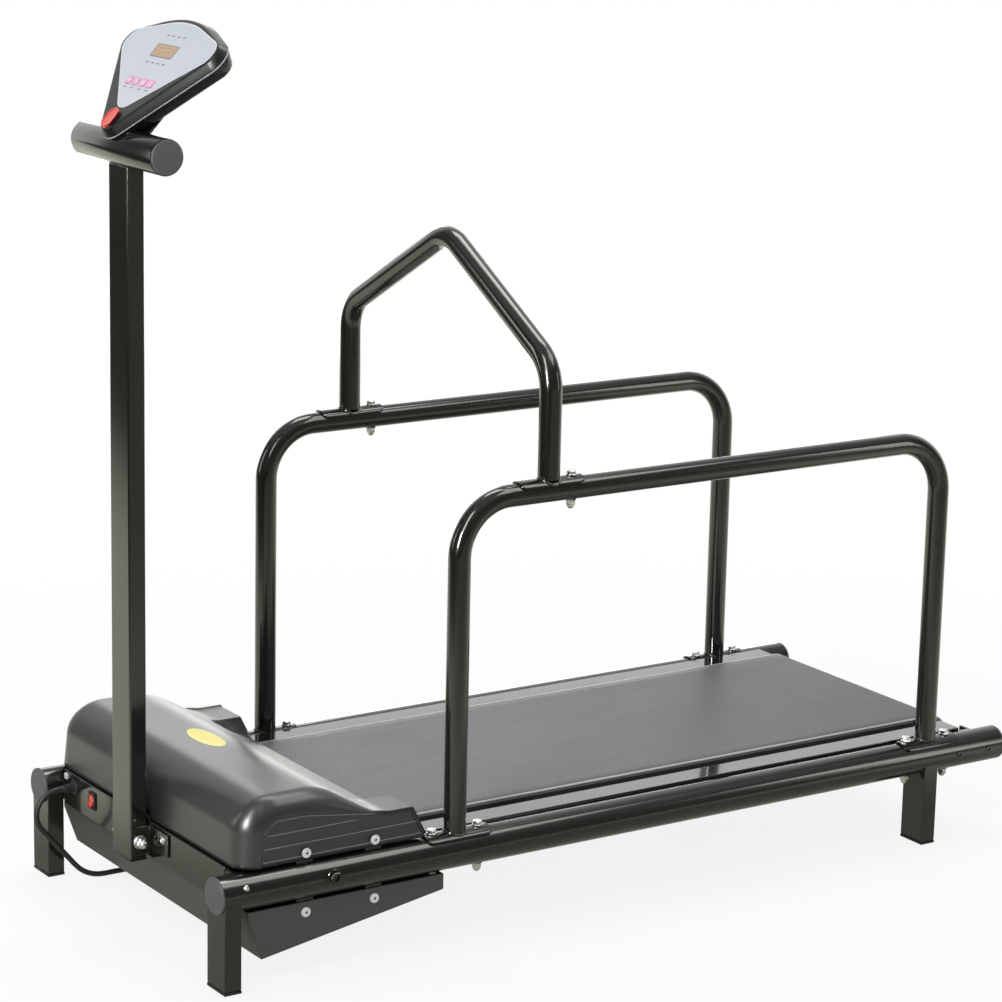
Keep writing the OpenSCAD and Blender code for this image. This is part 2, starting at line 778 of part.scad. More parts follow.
// One skin of the hood, inset by a wall: rows run rearwards and columns from left to right
function half_columns(half, inset) =
    let (wall = ear_in - ear_wall + inset)
    let (edge = side_round - inset)
    concat(
        [for (k = [0:span_cols]) wall * k / span_cols],
        [wall + ear_wall, (wall + ear_wall + half - edge) / 2],
        [for (k = [0:roll_cols]) half - edge * (1 - sin(90 * k / roll_cols))]);
function row_places(s0, rear, inset) =
    let (roll = hood_draft + front_round)
    concat(
        [for (k = [0:roll_rows]) mix(roll, s0, cos(90 * k / roll_rows))],
        [mix(roll, crest_end - crest_soft, 0.5)],
        [for (k = [-1:0.5:1]) crest_end + k * crest_soft],
        [mix(crest_end + crest_soft, slope_at(ear_h + ear_soft), 0.5)],
        [for (k = [1:-0.5:-1]) slope_at(ear_h + k * ear_soft)],
        [mix(slope_at(ear_h - ear_soft), hood_len - ear_slant, 0.5), hood_len - ear_slant - inset, rear]);
hood_cols = 2 * (span_cols + roll_cols + 3);
hood_n = hood_cols + 1;
hood_rows = len(row_places(0, hood_len, 0)) - 1;
function hood_skin(inset) =
    let (half = hood_side - hood_draft - inset)
    let (out = half_columns(half, inset))
    let (last = len(out) - 1)
    let (across = concat([for (k = [last:-1:1]) -out[k]], out))
    let (lines = [for (y = across)
        row_places(plan_front(y, half) + hood_draft + inset, plan_rear(y, inset), inset)])
    [for (i = [0:hood_rows], j = [0:hood_cols])
        let (s = lines[j][i])
        [fx(hood_front) + s, across[j], hood_z + hood_height(s, across[j], lines[j][0], half, inset)]];
// The skin's edge from its left rear round the front to its right rear, and the rim below it
hood_edge = concat(
    [for (i = [hood_rows:-1:0]) [i, 0]],
    [for (j = [1:hood_cols]) [0, j]],
    [for (i = [1:hood_rows]) [i, hood_cols]]);
function edge_index(k) = hood_edge[k][0] * hood_n + hood_edge[k][1];
function hood_rim(skin, inset) =
    let (out = hood_side - inset)
    [for (k = [0:len(hood_edge) - 1])
        let (place = skin[edge_index(k)])
        let (y = place[1] * out / (out - hood_draft))
        let (x = hood_edge[k][0] == 0 ? fx(hood_front) + plan_front(y, out) + inset : place[0])
        [x, y, hood_z]];
function flip(face) = [for (k = [len(face) - 1:-1:0]) face[k]];
function quad(a, b, c, d) = [[a, b, c], [a, c, d]];
module hood_shell() {
    outer = hood_skin(0);
    inner = hood_skin(hood_wall);
    n = len(outer);
    m = len(hood_edge);
    rim = 2 * n;
    rim_in = 2 * n + m;
    last = hood_rows * hood_n;
    grid = [for (i = [0:hood_rows - 1], j = [0:hood_cols - 1])
        let (a = i * hood_n + j)
        each quad(a, a + 1, a + hood_n + 1, a + hood_n)];
    skirt = [for (k = [0:m - 2]) each quad(edge_index(k), rim + k, rim + k + 1, edge_index(k + 1))];
    skirt_in = [for (k = [0:m - 2])
        each quad(n + edge_index(k), n + edge_index(k + 1), rim_in + k + 1, rim_in + k)];
    foot = [for (k = [0:m - 2]) each quad(rim + k, rim_in + k, rim_in + k + 1, rim + k + 1)];
    rear = [for (j = [0:hood_cols - 1]) each quad(last + j, last + j + 1, n + last + j + 1, n + last + j)];
    ends = concat(
        quad(edge_index(0), n + edge_index(0), rim_in, rim),
        quad(edge_index(m - 1), rim + m - 1, rim_in + m - 1, n + edge_index(m - 1)));
    polyhedron(
        points = concat(outer, inner, hood_rim(outer, 0), hood_rim(inner, hood_wall)),
        faces = concat(grid, [for (f = grid) flip([for (k = f) n + k])], skirt, skirt_in, foot, rear, ends));
}
module hood() {
    color(plastic) difference() {
        hood_shell();
        for (x = tab_x, side = [-1, 1])
            translate([fx(x), side * hood_side, hood_screw_z])
                bar_along_y(-2 * hood_wall - hood_draft, 2 * hood_wall, screw_r + slide_gap);
    }
}

// Washer-head screws through the hood and the belly pan into the tabs
screw_head_r = 7;
screw_head_h = 3;
module cover_screw(from, to) {
    bar_along_y(from, to, screw_r);
    translate([0, to, 0]) bar_along_y(0, screw_head_h, screw_head_r);
}
hood_seat = hood_side - hood_draft * (hood_screw_z - hood_z - screw_head_r) / panel_h + seat_gap;
module cover_screws() {
    color(zinc) for (x = tab_x, side = [-1, 1]) on_side(side) {
        translate([fx(x), 0, hood_screw_z]) cover_screw(hood_tab_y - tab_t, hood_seat);
        translate([fx(x), 0, pan_screw_z]) cover_screw(pan_tab_y - tab_t, pan_side + seat_gap);
    }
}

// Belly pan: an open tray with a slanted front and a floor that rises to the rear
pan_front_drop = 13;
pan_front_slant = 21;
pan_rear_h = 23;
module pan_profile(inset) {
    polygon([
        [inset, 0], [inset, -pan_front_drop], [pan_front_slant + inset * 1.2, inset * 1.2 - pan_depth],
        [pan_len - inset, inset - pan_rear_h], [pan_len - inset, 0]]);
}
module belly_pan() {
    color(paint) translate([fx(pan_x), 0, pan_top]) difference() {
        rotate([90, 0, 0]) linear_extrude(2 * pan_side, center = true) pan_profile(0);
        rotate([90, 0, 0]) linear_extrude(2 * (pan_side - sheet_t), center = true) union() {
            pan_profile(sheet_t);
            translate([sheet_t, -cut]) square([pan_len - 2 * sheet_t, 2 * cut]);
        }
        for (x = tab_x, side = [-1, 1])
            translate([x - pan_x, side * pan_side, pan_screw_z - pan_top])
                bar_along_y(-2 * sheet_t, 2 * sheet_t, screw_r + slide_gap);
    }
}

// Motor on a saddle bracket over the front brace
motor_end = pulley_y - 18;
motor_y = [motor_end - motor_len, motor_end];
motor_lift = 8;
motor_z = motor_brace_top + motor_lift + motor_d / 2;
shaft_r = 6;
shaft_depth = 55;
bore_depth = shaft_depth + 5;
module motor_body() {
    color(plastic) translate([fx(brace_x), 0, motor_z]) difference() {
        union() {
            bar_along_y(motor_y[0], motor_y[1], motor_d / 2);
            bar_along_y(motor_y[0] - 8, motor_y[0], motor_d / 4);
        }
        bar_along_y(motor_y[1] - bore_depth, motor_y[1] + cut, shaft_r + run_gap);
    }
}
motor_foot_w = 60;
module motor_bracket() {
    color(paint) translate([fx(brace_x), 0, 0]) difference() {
        for (y = [motor_y[0] + 20, motor_y[1] - 50])
            block([-motor_foot_w / 2, y, motor_brace_top], [motor_foot_w / 2, y + 30, motor_z - motor_d / 4]);
        translate([0, 0, motor_z]) bar_along_y(motor_y[0], motor_y[1], motor_d / 2 + weld_gap);
    }
}

// Motor shaft with its small pulley
module motor_rotor() {
    color(zinc) translate([fx(brace_x), 0, motor_z]) {
        bar_along_y(motor_y[1] - shaft_depth, pulley_y + pulley_w, shaft_r);
        translate([0, pulley_y, 0]) {
            bar_along_y(0, pulley_w, motor_pulley_r - belt_gap);
            for (y = [0, pulley_w - pulley_rim]) translate([0, y, 0])
                bar_along_y(0, pulley_rim, motor_pulley_r + 4);
        }
    }
}

// Drive belt: a band round both pulleys, drawn in the plane of the pulleys, its straight runs
// tucked a hair inside the round ends
drive_belt_t = 2.5;
pulley_run = [front_axle_x - brace_x, roller_z - motor_z];
pulley_dist = norm(pulley_run);
drive_tuck = 0.05;
module drive_loop(grow) {
    small = motor_pulley_r + grow;
    large = drive_pulley_r + grow;
    lean = acos((small - large) / pulley_dist);
    circle(r = small);
    translate([pulley_dist, 0]) circle(r = large);
    near = (small - drive_tuck) * [cos(lean), sin(lean)];
    far = (large - drive_tuck) * [cos(lean), sin(lean)];
    polygon([
        near, [near[0], -near[1]],
        [pulley_dist + far[0], -far[1]], [pulley_dist + far[0], far[1]]]);
}
module drive_belt() {
    color(rubber) translate([fx(brace_x), pulley_y + pulley_w - pulley_rim - belt_gap, motor_z])
        rotate([90, 0, 0]) rotate([0, 0, atan2(pulley_run[1], pulley_run[0])])
            linear_extrude(pulley_w - 2 * pulley_rim - 2 * belt_gap) difference() {
                drive_loop(drive_belt_t);
                drive_loop(0);
            }
}

// Speed controller in a finned box on the front brace
controller = [70, 110, 34];
controller_y = -150;
fin_count = 7;
module motor_controller() {
    fin_pitch = controller[1] / fin_count;
    color("silver") translate([fx(brace_x) - controller[0] / 2, controller_y, motor_brace_top]) {
        cube([controller[0], controller[1], controller[2] * 0.6]);
        for (i = [0:fin_count - 1])
            translate([0, (i + 0.3) * fin_pitch, 0]) cube([controller[0], fin_pitch * 0.4, controller[2]]);
    }
}

// Mains switch in the front panel: a framed housing with a rocker on a cross pin
switch_frame = [20.5, 26.5];
switch_frame_t = 2.5;
switch_wall = 1.8;
switch_depth = 22;
switch_half = switch_cut / 2;
switch_inner = [switch_half[0] - switch_wall, switch_half[1] - switch_wall];
rocker_half = [switch_inner[0] - slide_gap, switch_inner[1] - slide_gap];
rocker_pin_r = 1.5;
rocker_pin_x = 4;
rocker_pin_half = switch_half[0] - 0.8;
rocker_face = 3;
rocker_heel = 7;
rocker_tilt = 8;
module switch_housing() {
    out = [switch_half[0] - slide_gap / 2, switch_half[1] - slide_gap / 2];
    color(plastic) translate([fx(panel_x), switch_y, switch_z]) difference() {
        union() {
            block([-switch_frame_t, -switch_frame[0] / 2, -switch_frame[1] / 2],
                [0, switch_frame[0] / 2, switch_frame[1] / 2]);
            block([-cut, -out[0], -out[1]], [switch_depth, out[0], out[1]]);
        }
        block([-switch_frame_t - cut, -switch_inner[0], -switch_inner[1]],
            [switch_depth - switch_wall, switch_inner[0], switch_inner[1]]);
        translate([rocker_pin_x, 0, 0])
            bar_along_y(-rocker_pin_half - slide_gap, rocker_pin_half + slide_gap, rocker_pin_r + run_gap);
    }
}
module power_rocker() {
    h = rocker_half[1];
    face = -rocker_pin_x - switch_frame_t;
    color("red") translate([fx(panel_x) + rocker_pin_x, switch_y, switch_z]) rotate([0, rocker_tilt, 0]) {
        rotate([90, 0, 0]) linear_extrude(2 * rocker_half[0], center = true) polygon([
            [face - rocker_face, h], [face, 0], [face - rocker_face, -h],
            [0, rocker_heel - h], [rocker_face, 0], [0, h - rocker_heel]]);
        bar_along_y(-rocker_pin_half, rocker_pin_half, rocker_pin_r);
    }
}

// Cord gland with a tapered strain relief
gland_flange_r = 11;
gland_flange_t = 3;
relief_len = 20;
gland_tip = panel_x - relief_len;
module cord_gland() {
    color(rubber) translate([fx(panel_x), gland_y, gland_z]) rotate([0, -90, 0]) rotate_extrude() polygon([
        [0, -sheet_t - 6], [gland_hole_r, -sheet_t - 6], [gland_hole_r, 0], [gland_flange_r, 0],
        [gland_flange_r, gland_flange_t], [cord_d * 0.85, gland_flange_t],
        [cord_d * 0.6, relief_len], [0, relief_len]]);
}

// Route of the mains cord: a loop in front of the panel, down to the floor and back under the frame
cord_r = cord_d / 2;
floor_z = cord_r + 0.4;
cord_loop_r = 4.25 * cord_d;
cord_fall = 50;
sweep_r = 60;
coil_aside = 10;
coil_start = [-240, gland_y - coil_aside, floor_z];
loop_x = fx(gland_tip) - cord_d;
loop_end = [loop_x - cord_loop_r * sin(cord_fall), gland_z - cord_loop_r * (1 + cos(cord_fall))];
sweep_z = floor_z + sweep_r * (1 - cos(cord_fall));
sweep_x = loop_end[0] + (loop_end[1] - sweep_z) / tan(cord_fall);
touch_x = sweep_x + sweep_r * sin(cord_fall);
lay_x = touch_x + 1.5 * cord_d;
loop_steps = 7;
sweep_steps = 4;
lay_steps = 7;
cord_route = concat(
    [[fx(gland_tip), gland_y, gland_z]],
    [for (k = [0:loop_steps]) let (a = (180 - cord_fall) * k / loop_steps)
        [loop_x - cord_loop_r * sin(a), gland_y, gland_z - cord_loop_r * (1 - cos(a))]],
    [for (t = [0.15, 0.5, 0.85]) [mix(loop_end[0], sweep_x, t), gland_y, mix(loop_end[1], sweep_z, t)]],
    [for (k = [0:sweep_steps]) let (a = cord_fall * (1 - k / sweep_steps))
        [touch_x - sweep_r * sin(a), gland_y, floor_z + sweep_r * (1 - cos(a))]],
    [for (k = [0:lay_steps]) let (t = k / lay_steps)
        [mix(lay_x, coil_start[0], t), mix(gland_y, coil_start[1], smooth(t)), floor_z]]);
ring_step = 1.6 * cord_d;
cord_sides = 10;
function unit(v) = v / norm(v);
// Direction of the smooth curve at one of its points
function route_dir(p, i) =
    i == 0 ? unit(p[1] - p[0])
    : i == len(p) - 1 ? unit(p[i] - p[i - 1])
    : let (a = p[i] - p[i - 1]) let (b = p[i + 1] - p[i]) unit(unit(a) * norm(b) + unit(b) * norm(a));
function spline_point(p, i, t) =
    let (span = norm(p[i + 1] - p[i]))
    (2 * t * t * t - 3 * t * t + 1) * p[i] + (t * t * t - 2 * t * t + t) * span * route_dir(p, i)
        + (3 * t * t - 2 * t * t * t) * p[i + 1] + (t * t * t - t * t) * span * route_dir(p, i + 1);
function spline(p) = concat(
    [for (i = [0:len(p) - 2])
        let (steps = ceil(norm(p[i + 1] - p[i]) / ring_step))
        for (k = [0:steps - 1]) spline_point(p, i, k / steps)],
    [p[len(p) - 1]]);
function path_length(p) = len(p) < 2 ? 0 : path_sum(p, 1, 0);
function path_sum(p, i, total) = i >= len(p) ? total : path_sum(p, i + 1, total + norm(p[i] - p[i - 1]));
function tangent(p, i) = unit(p[min(len(p) - 1, i + 1)] - p[max(0, i - 1)]);
// Tube of round section along a path, with a side direction that the path never follows
module swept_tube(path, r, sides, aside) {
    rings = len(path);
    points = [for (i = [0:rings - 1], k = [0:sides - 1])
        let (along = tangent(path, i))
        let (right = unit(cross(along, aside)))
        let (up = cross(right, along))
        let (a = 360 * k / sides)
        path[i] + r * (cos(a) * right + sin(a) * up)];
    walls = [for (i = [0:rings - 2], k = [0:sides - 1], half = [0, 1])
        let (a = i * sides + k)
        let (b = i * sides + (k + 1) % sides)
        half == 0 ? [a, b, b + sides] : [a, b + sides, a + sides]];
    first = [for (k = [1:sides - 2]) [0, k + 1, k]];
    end = (rings - 1) * sides;
    last = [for (k = [1:sides - 2]) [end, end + k, end + k + 1]];
    polyhedron(points = points, faces = concat(walls, first, last));
}
cord_path = spline(cord_route);
module cord_run() { color(rubber) swept_tube(cord_path, cord_r, cord_sides, [0, 1, 0]); }

// Coiled length on the floor: one tube that spirals in, climbs a layer and spirals out again
coil_out_r = 55;
coil_step = cord_d + 1.8;
coil_rise = cord_d + 1.8;
coil_rings = 24;
coil_sides = 6;
coil_centre = [coil_start[0] + cord_d, coil_start[1] - coil_out_r];
coil_total = 2 * coil_turns + 0.5;
function coil_radius(n) = n <= coil_turns ? coil_out_r - coil_step * n
    : n <= coil_turns + 0.5 ? coil_out_r - coil_step * coil_turns
    : coil_out_r - coil_step * (coil_total - n);
function coil_height(n) = coil_rise * smooth((n - coil_turns) * 2);
function coil_point(n) =
    let (a = 90 - 360 * n)
    let (r = coil_radius(n))
    [coil_centre[0] + r * cos(a), coil_centre[1] + r * sin(a), coil_start[2] + coil_height(n)];
coil_lead = cord_d;
coil_loops = [for (k = [0:coil_rings * coil_total]) coil_point(k / coil_rings)];
coil_end = coil_loops[len(coil_loops) - 1];
coil_path = concat([coil_start], coil_loops, [coil_end - [coil_lead, 0, 0]]);
coil_apart = coil_rings / 2;
coil_gap = min([for (i = [0:len(coil_path) - 1], j = [i + coil_apart:len(coil_path) - 1])
    norm(coil_path[i] - coil_path[j])]) - cord_d;
module cord_coil() { color(rubber) swept_tube(coil_path, cord_r, coil_sides, [0, 0, 1]); }
echo(coil_self_gap = coil_gap, cord_length = path_length(cord_path) + path_length(coil_path));

// Moulded mains plug at the end of the coil, lying on the floor, with two flat pins
plug_len = 38;
plug_w = 26;
plug_neck = 24;
plug_at = coil_path[len(coil_path) - 1];
plug_h = 2 * plug_at[2] - 0.4;
pin_size = [17, 1.6, 6.4];
pin_pitch = 12.7;
module cord_plug() {
    color(rubber) translate(plug_at) {
        rotate([0, -90, 0]) cylinder(h = plug_neck, r1 = cord_r * 1.15, r2 = cord_r * 1.8);
        translate([-plug_neck - plug_len / 2, 0, 0]) cube([plug_len, plug_w, plug_h], center = true);
        for (side = [-1, 1])
            translate([-plug_neck - plug_len, side * pin_pitch / 2, 0]) cube(pin_size, center = true);
    }
}

// Channel bracket that holds the foot of the post against the front panel
ear_t = 3;
ear_low = post_base + 8;
ear_high = rail_z + rail_r - 2;
base_half = 85;
base_drop = 8;
base_low = rail_z - base_drop;
base_rise = 35;
base_peak = rail_z + base_rise;
peak_half = [41, 26];
base_t = panel_x - post_x - post_d / 2 - 2;
post_front = post_x - post_d / 2;
post_bolt_r = 5;
module post_bracket() {
    back = fx(panel_x) - seat_gap;
    y = post_w / 2 + slide_gap;
    color(paint) difference() {
        union() {
            translate([back - base_t, 0, 0]) rotate([90, 0, 90]) linear_extrude(base_t) polygon([
                [-base_half, base_low], [base_half, base_low], [base_half, ear_high],
                [peak_half[0], ear_high], [peak_half[1], base_peak], [-peak_half[1], base_peak],
                [-peak_half[0], ear_high], [-base_half, ear_high]]);
            block([back - base_t, -y - ear_t, ear_low], [back, y + ear_t, ear_high]);
            for (side = [-1, 1]) on_side(side)
                block([fx(post_front) + 4, y, ear_low], [back, y + ear_t, ear_high]);
        }
        translate([fx(post_x), 0, post_bolt_z]) bar_along_y(-base_half, base_half, post_bolt_r + slide_gap);
        for (side = [-1, 1])
            translate([back, side * bracket_screw_y, bracket_screw_z])
                bar_along_x(-base_t - cut, cut, bracket_screw_r + slide_gap);
    }
}
module bracket_screws() {
    head = [5.5, 3.5];
    face = fx(panel_x) - seat_gap - base_t;
    color(zinc) for (side = [-1, 1])
        translate([face, side * bracket_screw_y, bracket_screw_z]) {
            bar_along_x(0, base_t + sheet_t + 6, bracket_screw_r);
            bar_along_x(-head[1], 0, head[0]);
        }
}

// Through bolt of the post, with its washers and domed nut
post_bolt_head = 6;
bolt_seat = post_w / 2 + slide_gap + ear_t + seat_gap;
module post_bolt() {
    color(zinc) translate([fx(post_x), 0, post_bolt_z]) {
        post_nut();
        bar_along_y(-bolt_seat - 2 * washer_t - post_bolt_head, bolt_seat + cut, post_bolt_r);
        translate([0, bolt_seat, 0]) {
            bar_along_y(0, washer_t, post_bolt_r * 2);
            rotate([-90, 0, 0]) cylinder(h = washer_t + post_bolt_head, r = post_bolt_r * 1.7, $fn = 6);
        }
    }
}
module post_nut() {
    dome_r = post_bolt_r * 1.45;
    nut_end = bolt_seat + washer_t + post_bolt_head + 2;
    difference() {
        union() {
            bar_along_y(-bolt_seat - washer_t, -bolt_seat, post_bolt_r * 2);
            translate([0, -nut_end, 0]) rotate([-90, 0, 0])
                cylinder(h = nut_end - bolt_seat, r = post_bolt_r * 1.7, $fn = 6);
            translate([0, -nut_end, 0]) sphere(r = dome_r);
        }
        bar_along_y(-nut_end, 0, post_bolt_r + seat_gap);
    }
}

// Console post, a rectangular tube cut to the console bar
module post() {
    color(paint) difference() {
        translate([fx(post_x), 0, post_base]) linear_extrude(bar_z - post_base) difference() {
            square([post_d, post_w], center = true);
            square([post_d - 2 * tube_wall, post_w - 2 * tube_wall], center = true);
        }
        translate([fx(post_x), 0, bar_z]) bar_along_y(-bar_len / 2, bar_len / 2, bar_r + weld_gap);
        translate([fx(post_x), 0, post_bolt_z]) bar_along_y(-post_w, post_w, post_bolt_r + slide_gap);
    }
}
module console_bar() {
    color(paint) translate([fx(post_x), 0, bar_z]) rotate([90, 0, 0])
        linear_extrude(bar_len, center = true) tube_ring(bar_r);
}
bar_rim = 1.2;
module bar_caps() {
    color(plastic) translate([fx(post_x), 0, bar_z]) for (side = [-1, 1])
        rotate([side * -90, 0, 0]) translate([0, 0, bar_len / 2])
            end_cap(bar_r - bar_rim, bar_r - tube_wall - slide_gap);
}

// Console frame: X runs up the face, Y across it and Z out of it, from the bar's axis
module on_console() { translate([fx(post_x), 0, bar_z]) rotate([0, -console_tilt, 0]) children(); }
module crown_arc(top, r) {
    polygon([for (a = [-crown_span:crown_step:crown_span]) [top - r * (1 - cos(a)), r * sin(a)]]);
}
module console_outline(grow) {
    translate([display_v, 0]) hull() {
        translate([foot_v, 0]) circle(r = foot_r + grow, $fn = 32);
        crown_arc(crown_v + grow, crown_r + grow);
        for (side = [-1, 1]) translate([corner_v, side * corner_u]) circle(r = corner_r + grow, $fn = 32);
    }
}
// Solid that tapers from one outline to another
module console_taper(w0, grow0, w1, grow1) {
    skin = 0.01;
    hull() {
        translate([0, 0, w0]) linear_extrude(skin) console_outline(grow0);
        translate([0, 0, w1 - skin]) linear_extrude(skin) console_outline(grow1);
    }
}
overlay_t = 1;
overlay_foot_v = -82;
overlay_foot_r = 16;
overlay_corner_u = 100;
overlay_corner_v = 8;
overlay_corner_r = 22;
overlay_crown_v = 54;
overlay_crown_r = 195;
module overlay_outline(grow) {
    translate([display_v, 0]) hull() {
        translate([overlay_foot_v, 0]) circle(r = overlay_foot_r + grow, $fn = 32);
        crown_arc(overlay_crown_v + grow, overlay_crown_r + grow);
        for (side = [-1, 1])
            translate([overlay_corner_v, side * overlay_corner_u])
                circle(r = overlay_corner_r + grow, $fn = 32);
    }
}

// Cut-outs for the display, the keys and the stop button
key_h = 13;
key_v = display_v - 54;
key_u = [for (i = [-1.5:1:1.5]) i * key_pitch];
module key_shape(grow) { square([key_h + 2 * grow, key_w + 2 * grow], center = true); }
module stop_shape(grow) {
    for (end = [-1, 1]) translate([end * stop_half, 0]) circle(r = stop_r + grow);
    square([2 * stop_half, 2 * (stop_r + grow)], center = true);
}
module face_cuts(grow) {
    translate([display_v, 0]) square([display_h + 2 * grow, display_w + 2 * grow], center = true);
    for (u = key_u) translate([key_v, u]) key_shape(grow);
}

// Bezel, back shell and mount of the console
bezel_low = face_w - bezel_h;
back_low = 8;
back_inset = 10;
module console_bezel() {
    color(plastic) on_console() difference() {
        console_taper(bezel_low, 0, face_w, -bezel_inset);
        console_taper(bezel_low - cut, -bezel_wall, face_w - bezel_wall, -bezel_inset - bezel_wall);
        translate([0, 0, face_w - overlay_t]) linear_extrude(2 * overlay_t) overlay_outline(seat_gap);
        translate([0, 0, bezel_low]) linear_extrude(2 * bezel_h) {
            face_cuts(slide_gap);
            translate([stop_v, 0]) stop_shape(slide_gap);
        }
    }
}
module console_back() {
    color(plastic) on_console() difference() {
        console_taper(back_low, -back_inset, bezel_low, 0);
        console_taper(back_low + bezel_wall, -back_inset - bezel_wall, bezel_low + cut, -bezel_wall);
        bar_along_y(-bar_len, bar_len, bar_r + seat_gap);
        for (side = [-1, 1])
            translate([mount_screw_v, side * mount_screw_u, 0])
                bar_along_z(0, face_w / 2, screw_r + slide_gap);
    }
}
mount_half = 45;
mount_reach = 78;
mount_t = 3;
mount_screw_v = 60;
mount_screw_u = 28;
module console_mount() {
    color(paint) on_console() difference() {
        block([0, -mount_half, back_low - mount_t - seat_gap],
            [mount_reach, mount_half, back_low - seat_gap]);
        bar_along_y(-bar_len, bar_len, bar_r + weld_gap);
        for (side = [-1, 1])
            translate([mount_screw_v, side * mount_screw_u, 0]) bar_along_z(0, face_w, screw_r + slide_gap);
    }
}
module console_screws() {
    head = [4.5, 3];
    low = back_low - mount_t - 2 * seat_gap;
    color(zinc) on_console() for (side = [-1, 1]) translate([mount_screw_v, side * mount_screw_u, 0]) {
        bar_along_z(low, back_low + bezel_wall + 3, screw_r);
        bar_along_z(low - head[1], low, head[0]);
    }
}

// Face of the console: printed overlay, display, keys and stop button
window_t = 2;
key_rise = key_travel + 0.4;
key_depth = 3;
stop_depth = 8;
module console_overlay() {
    color([0.75, 0.79, 0.84]) on_console() translate([0, 0, face_w - overlay_t])
        linear_extrude(overlay_t) difference() {
            overlay_outline(0);
            face_cuts(slide_gap);
        }
}
module display_window() {
    color([0.72, 0.55, 0.38]) on_console() translate([display_v, 0, face_w - window_t])
        linear_extrude(window_t) square([display_h, display_w], center = true);
}
module key_cap(i) {
    color("hotpink") on_console() translate([key_v, key_u[i], face_w - key_depth])
        linear_extrude(key_depth + key_rise) key_shape(0);
}
module key_1() { key_cap(0); }
module key_2() { key_cap(1); }
module key_3() { key_cap(2); }
module key_4() { key_cap(3); }
module stop_button() {
    color("red") on_console() translate([stop_v, 0, face_w - stop_depth])
        linear_extrude(stop_depth + stop_rise) stop_shape(0);
}

left_side_rail();
right_side_rail();
front_legs();
rear_legs();
leg_feet();
rail_end_caps();
cross_braces();
front_panel();
cover_tabs();
left_ledge();
right_ledge();
deck_board();
deck_cushions();
running_belt();
front_axle();
front_roller();
drive_pulley();
rear_axle();
rear_roller();
rear_axle_brackets();
front_axle_bolts();
rear_bracket_screws();
tension_bolts();
left_handrail();
right_handrail();
harness_arch();
saddle_bolts();
saddle_nuts();
hood();
belly_pan();
cover_screws();
motor_body();
motor_bracket();
motor_rotor();
drive_belt();
motor_controller();
switch_housing();
power_rocker();
cord_gland();
cord_run();
cord_coil();
cord_plug();
post_bracket();
bracket_screws();
post_bolt();
post();
console_bar();
bar_caps();
console_mount();
console_back();
console_bezel();
console_overlay();
display_window();
key_1();
key_2();
key_3();
key_4();
stop_button();
console_screws();
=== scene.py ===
import json
import math

import bmesh
import bpy
from mathutils import Matrix, Vector

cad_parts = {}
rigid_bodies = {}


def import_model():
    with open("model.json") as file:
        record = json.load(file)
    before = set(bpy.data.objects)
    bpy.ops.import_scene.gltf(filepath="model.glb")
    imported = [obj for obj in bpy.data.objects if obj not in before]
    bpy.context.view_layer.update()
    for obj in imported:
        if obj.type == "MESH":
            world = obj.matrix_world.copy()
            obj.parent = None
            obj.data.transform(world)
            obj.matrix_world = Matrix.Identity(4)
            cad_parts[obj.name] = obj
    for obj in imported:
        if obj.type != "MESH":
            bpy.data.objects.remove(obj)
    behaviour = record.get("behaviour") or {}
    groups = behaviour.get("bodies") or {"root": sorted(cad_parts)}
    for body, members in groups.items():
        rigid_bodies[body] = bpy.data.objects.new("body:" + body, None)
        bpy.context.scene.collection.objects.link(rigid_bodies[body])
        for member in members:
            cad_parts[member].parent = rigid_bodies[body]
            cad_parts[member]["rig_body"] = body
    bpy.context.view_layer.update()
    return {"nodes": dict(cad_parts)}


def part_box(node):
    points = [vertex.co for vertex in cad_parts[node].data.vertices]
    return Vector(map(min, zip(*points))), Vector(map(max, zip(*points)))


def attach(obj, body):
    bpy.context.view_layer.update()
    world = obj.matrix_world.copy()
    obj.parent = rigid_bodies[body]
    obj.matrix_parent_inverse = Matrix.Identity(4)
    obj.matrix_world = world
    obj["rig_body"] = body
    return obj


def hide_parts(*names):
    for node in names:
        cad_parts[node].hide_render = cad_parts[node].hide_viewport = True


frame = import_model()
nodes = frame["nodes"]
scene = bpy.context.scene
turn = 2 * math.pi
print("frame:", len(nodes), "nodes")

# lengths below are in millimetres and become metres when a piece is made
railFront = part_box("left_side_rail")[0].x * 1000
railSide = 270  # a rail's axis from the middle of the machine
railHeight = 136
railSkin = 296.1  # just off a rail's outer side
rollerAlong, rollerHeight = 168, 141.5  # axis of the front roller
postAlong = 9
panelAlong = 27  # face of the front panel


def alongX(distance):  # place measured from the rails' front end
    return railFront + distance


# camera

viewpoint = {
    "place": (-2.66214, -3.91324, 1.67394), "yaw": 0.588, "pitch": 0.234, "roll": 0.022,
    "lens": 117.27, "sensor": 36, "clip": 60,
}


def makeCamera(v):
    level = math.cos(v["pitch"])
    ahead = Vector((math.sin(v["yaw"]) * level, math.cos(v["yaw"]) * level, -math.sin(v["pitch"])))
    right = ahead.cross(Vector((0, 0, 1))).normalized()
    up = right.cross(ahead)
    c, s = math.cos(v["roll"]), math.sin(v["roll"])
    data = bpy.data.cameras.new("camera")
    data.lens, data.sensor_width, data.clip_end = v["lens"], v["sensor"], v["clip"]
    camera = bpy.data.objects.new("camera", data)
    axes = Matrix((c * right + s * up, c * up - s * right, -ahead)).transposed()
    camera.matrix_world = Matrix.Translation(v["place"]) @ axes.to_4x4()
    scene.collection.objects.link(camera)
    scene.camera = camera


makeCamera(viewpoint)
print("camera set")


# shader wiring: one socket, with the sums that the finishes are written in

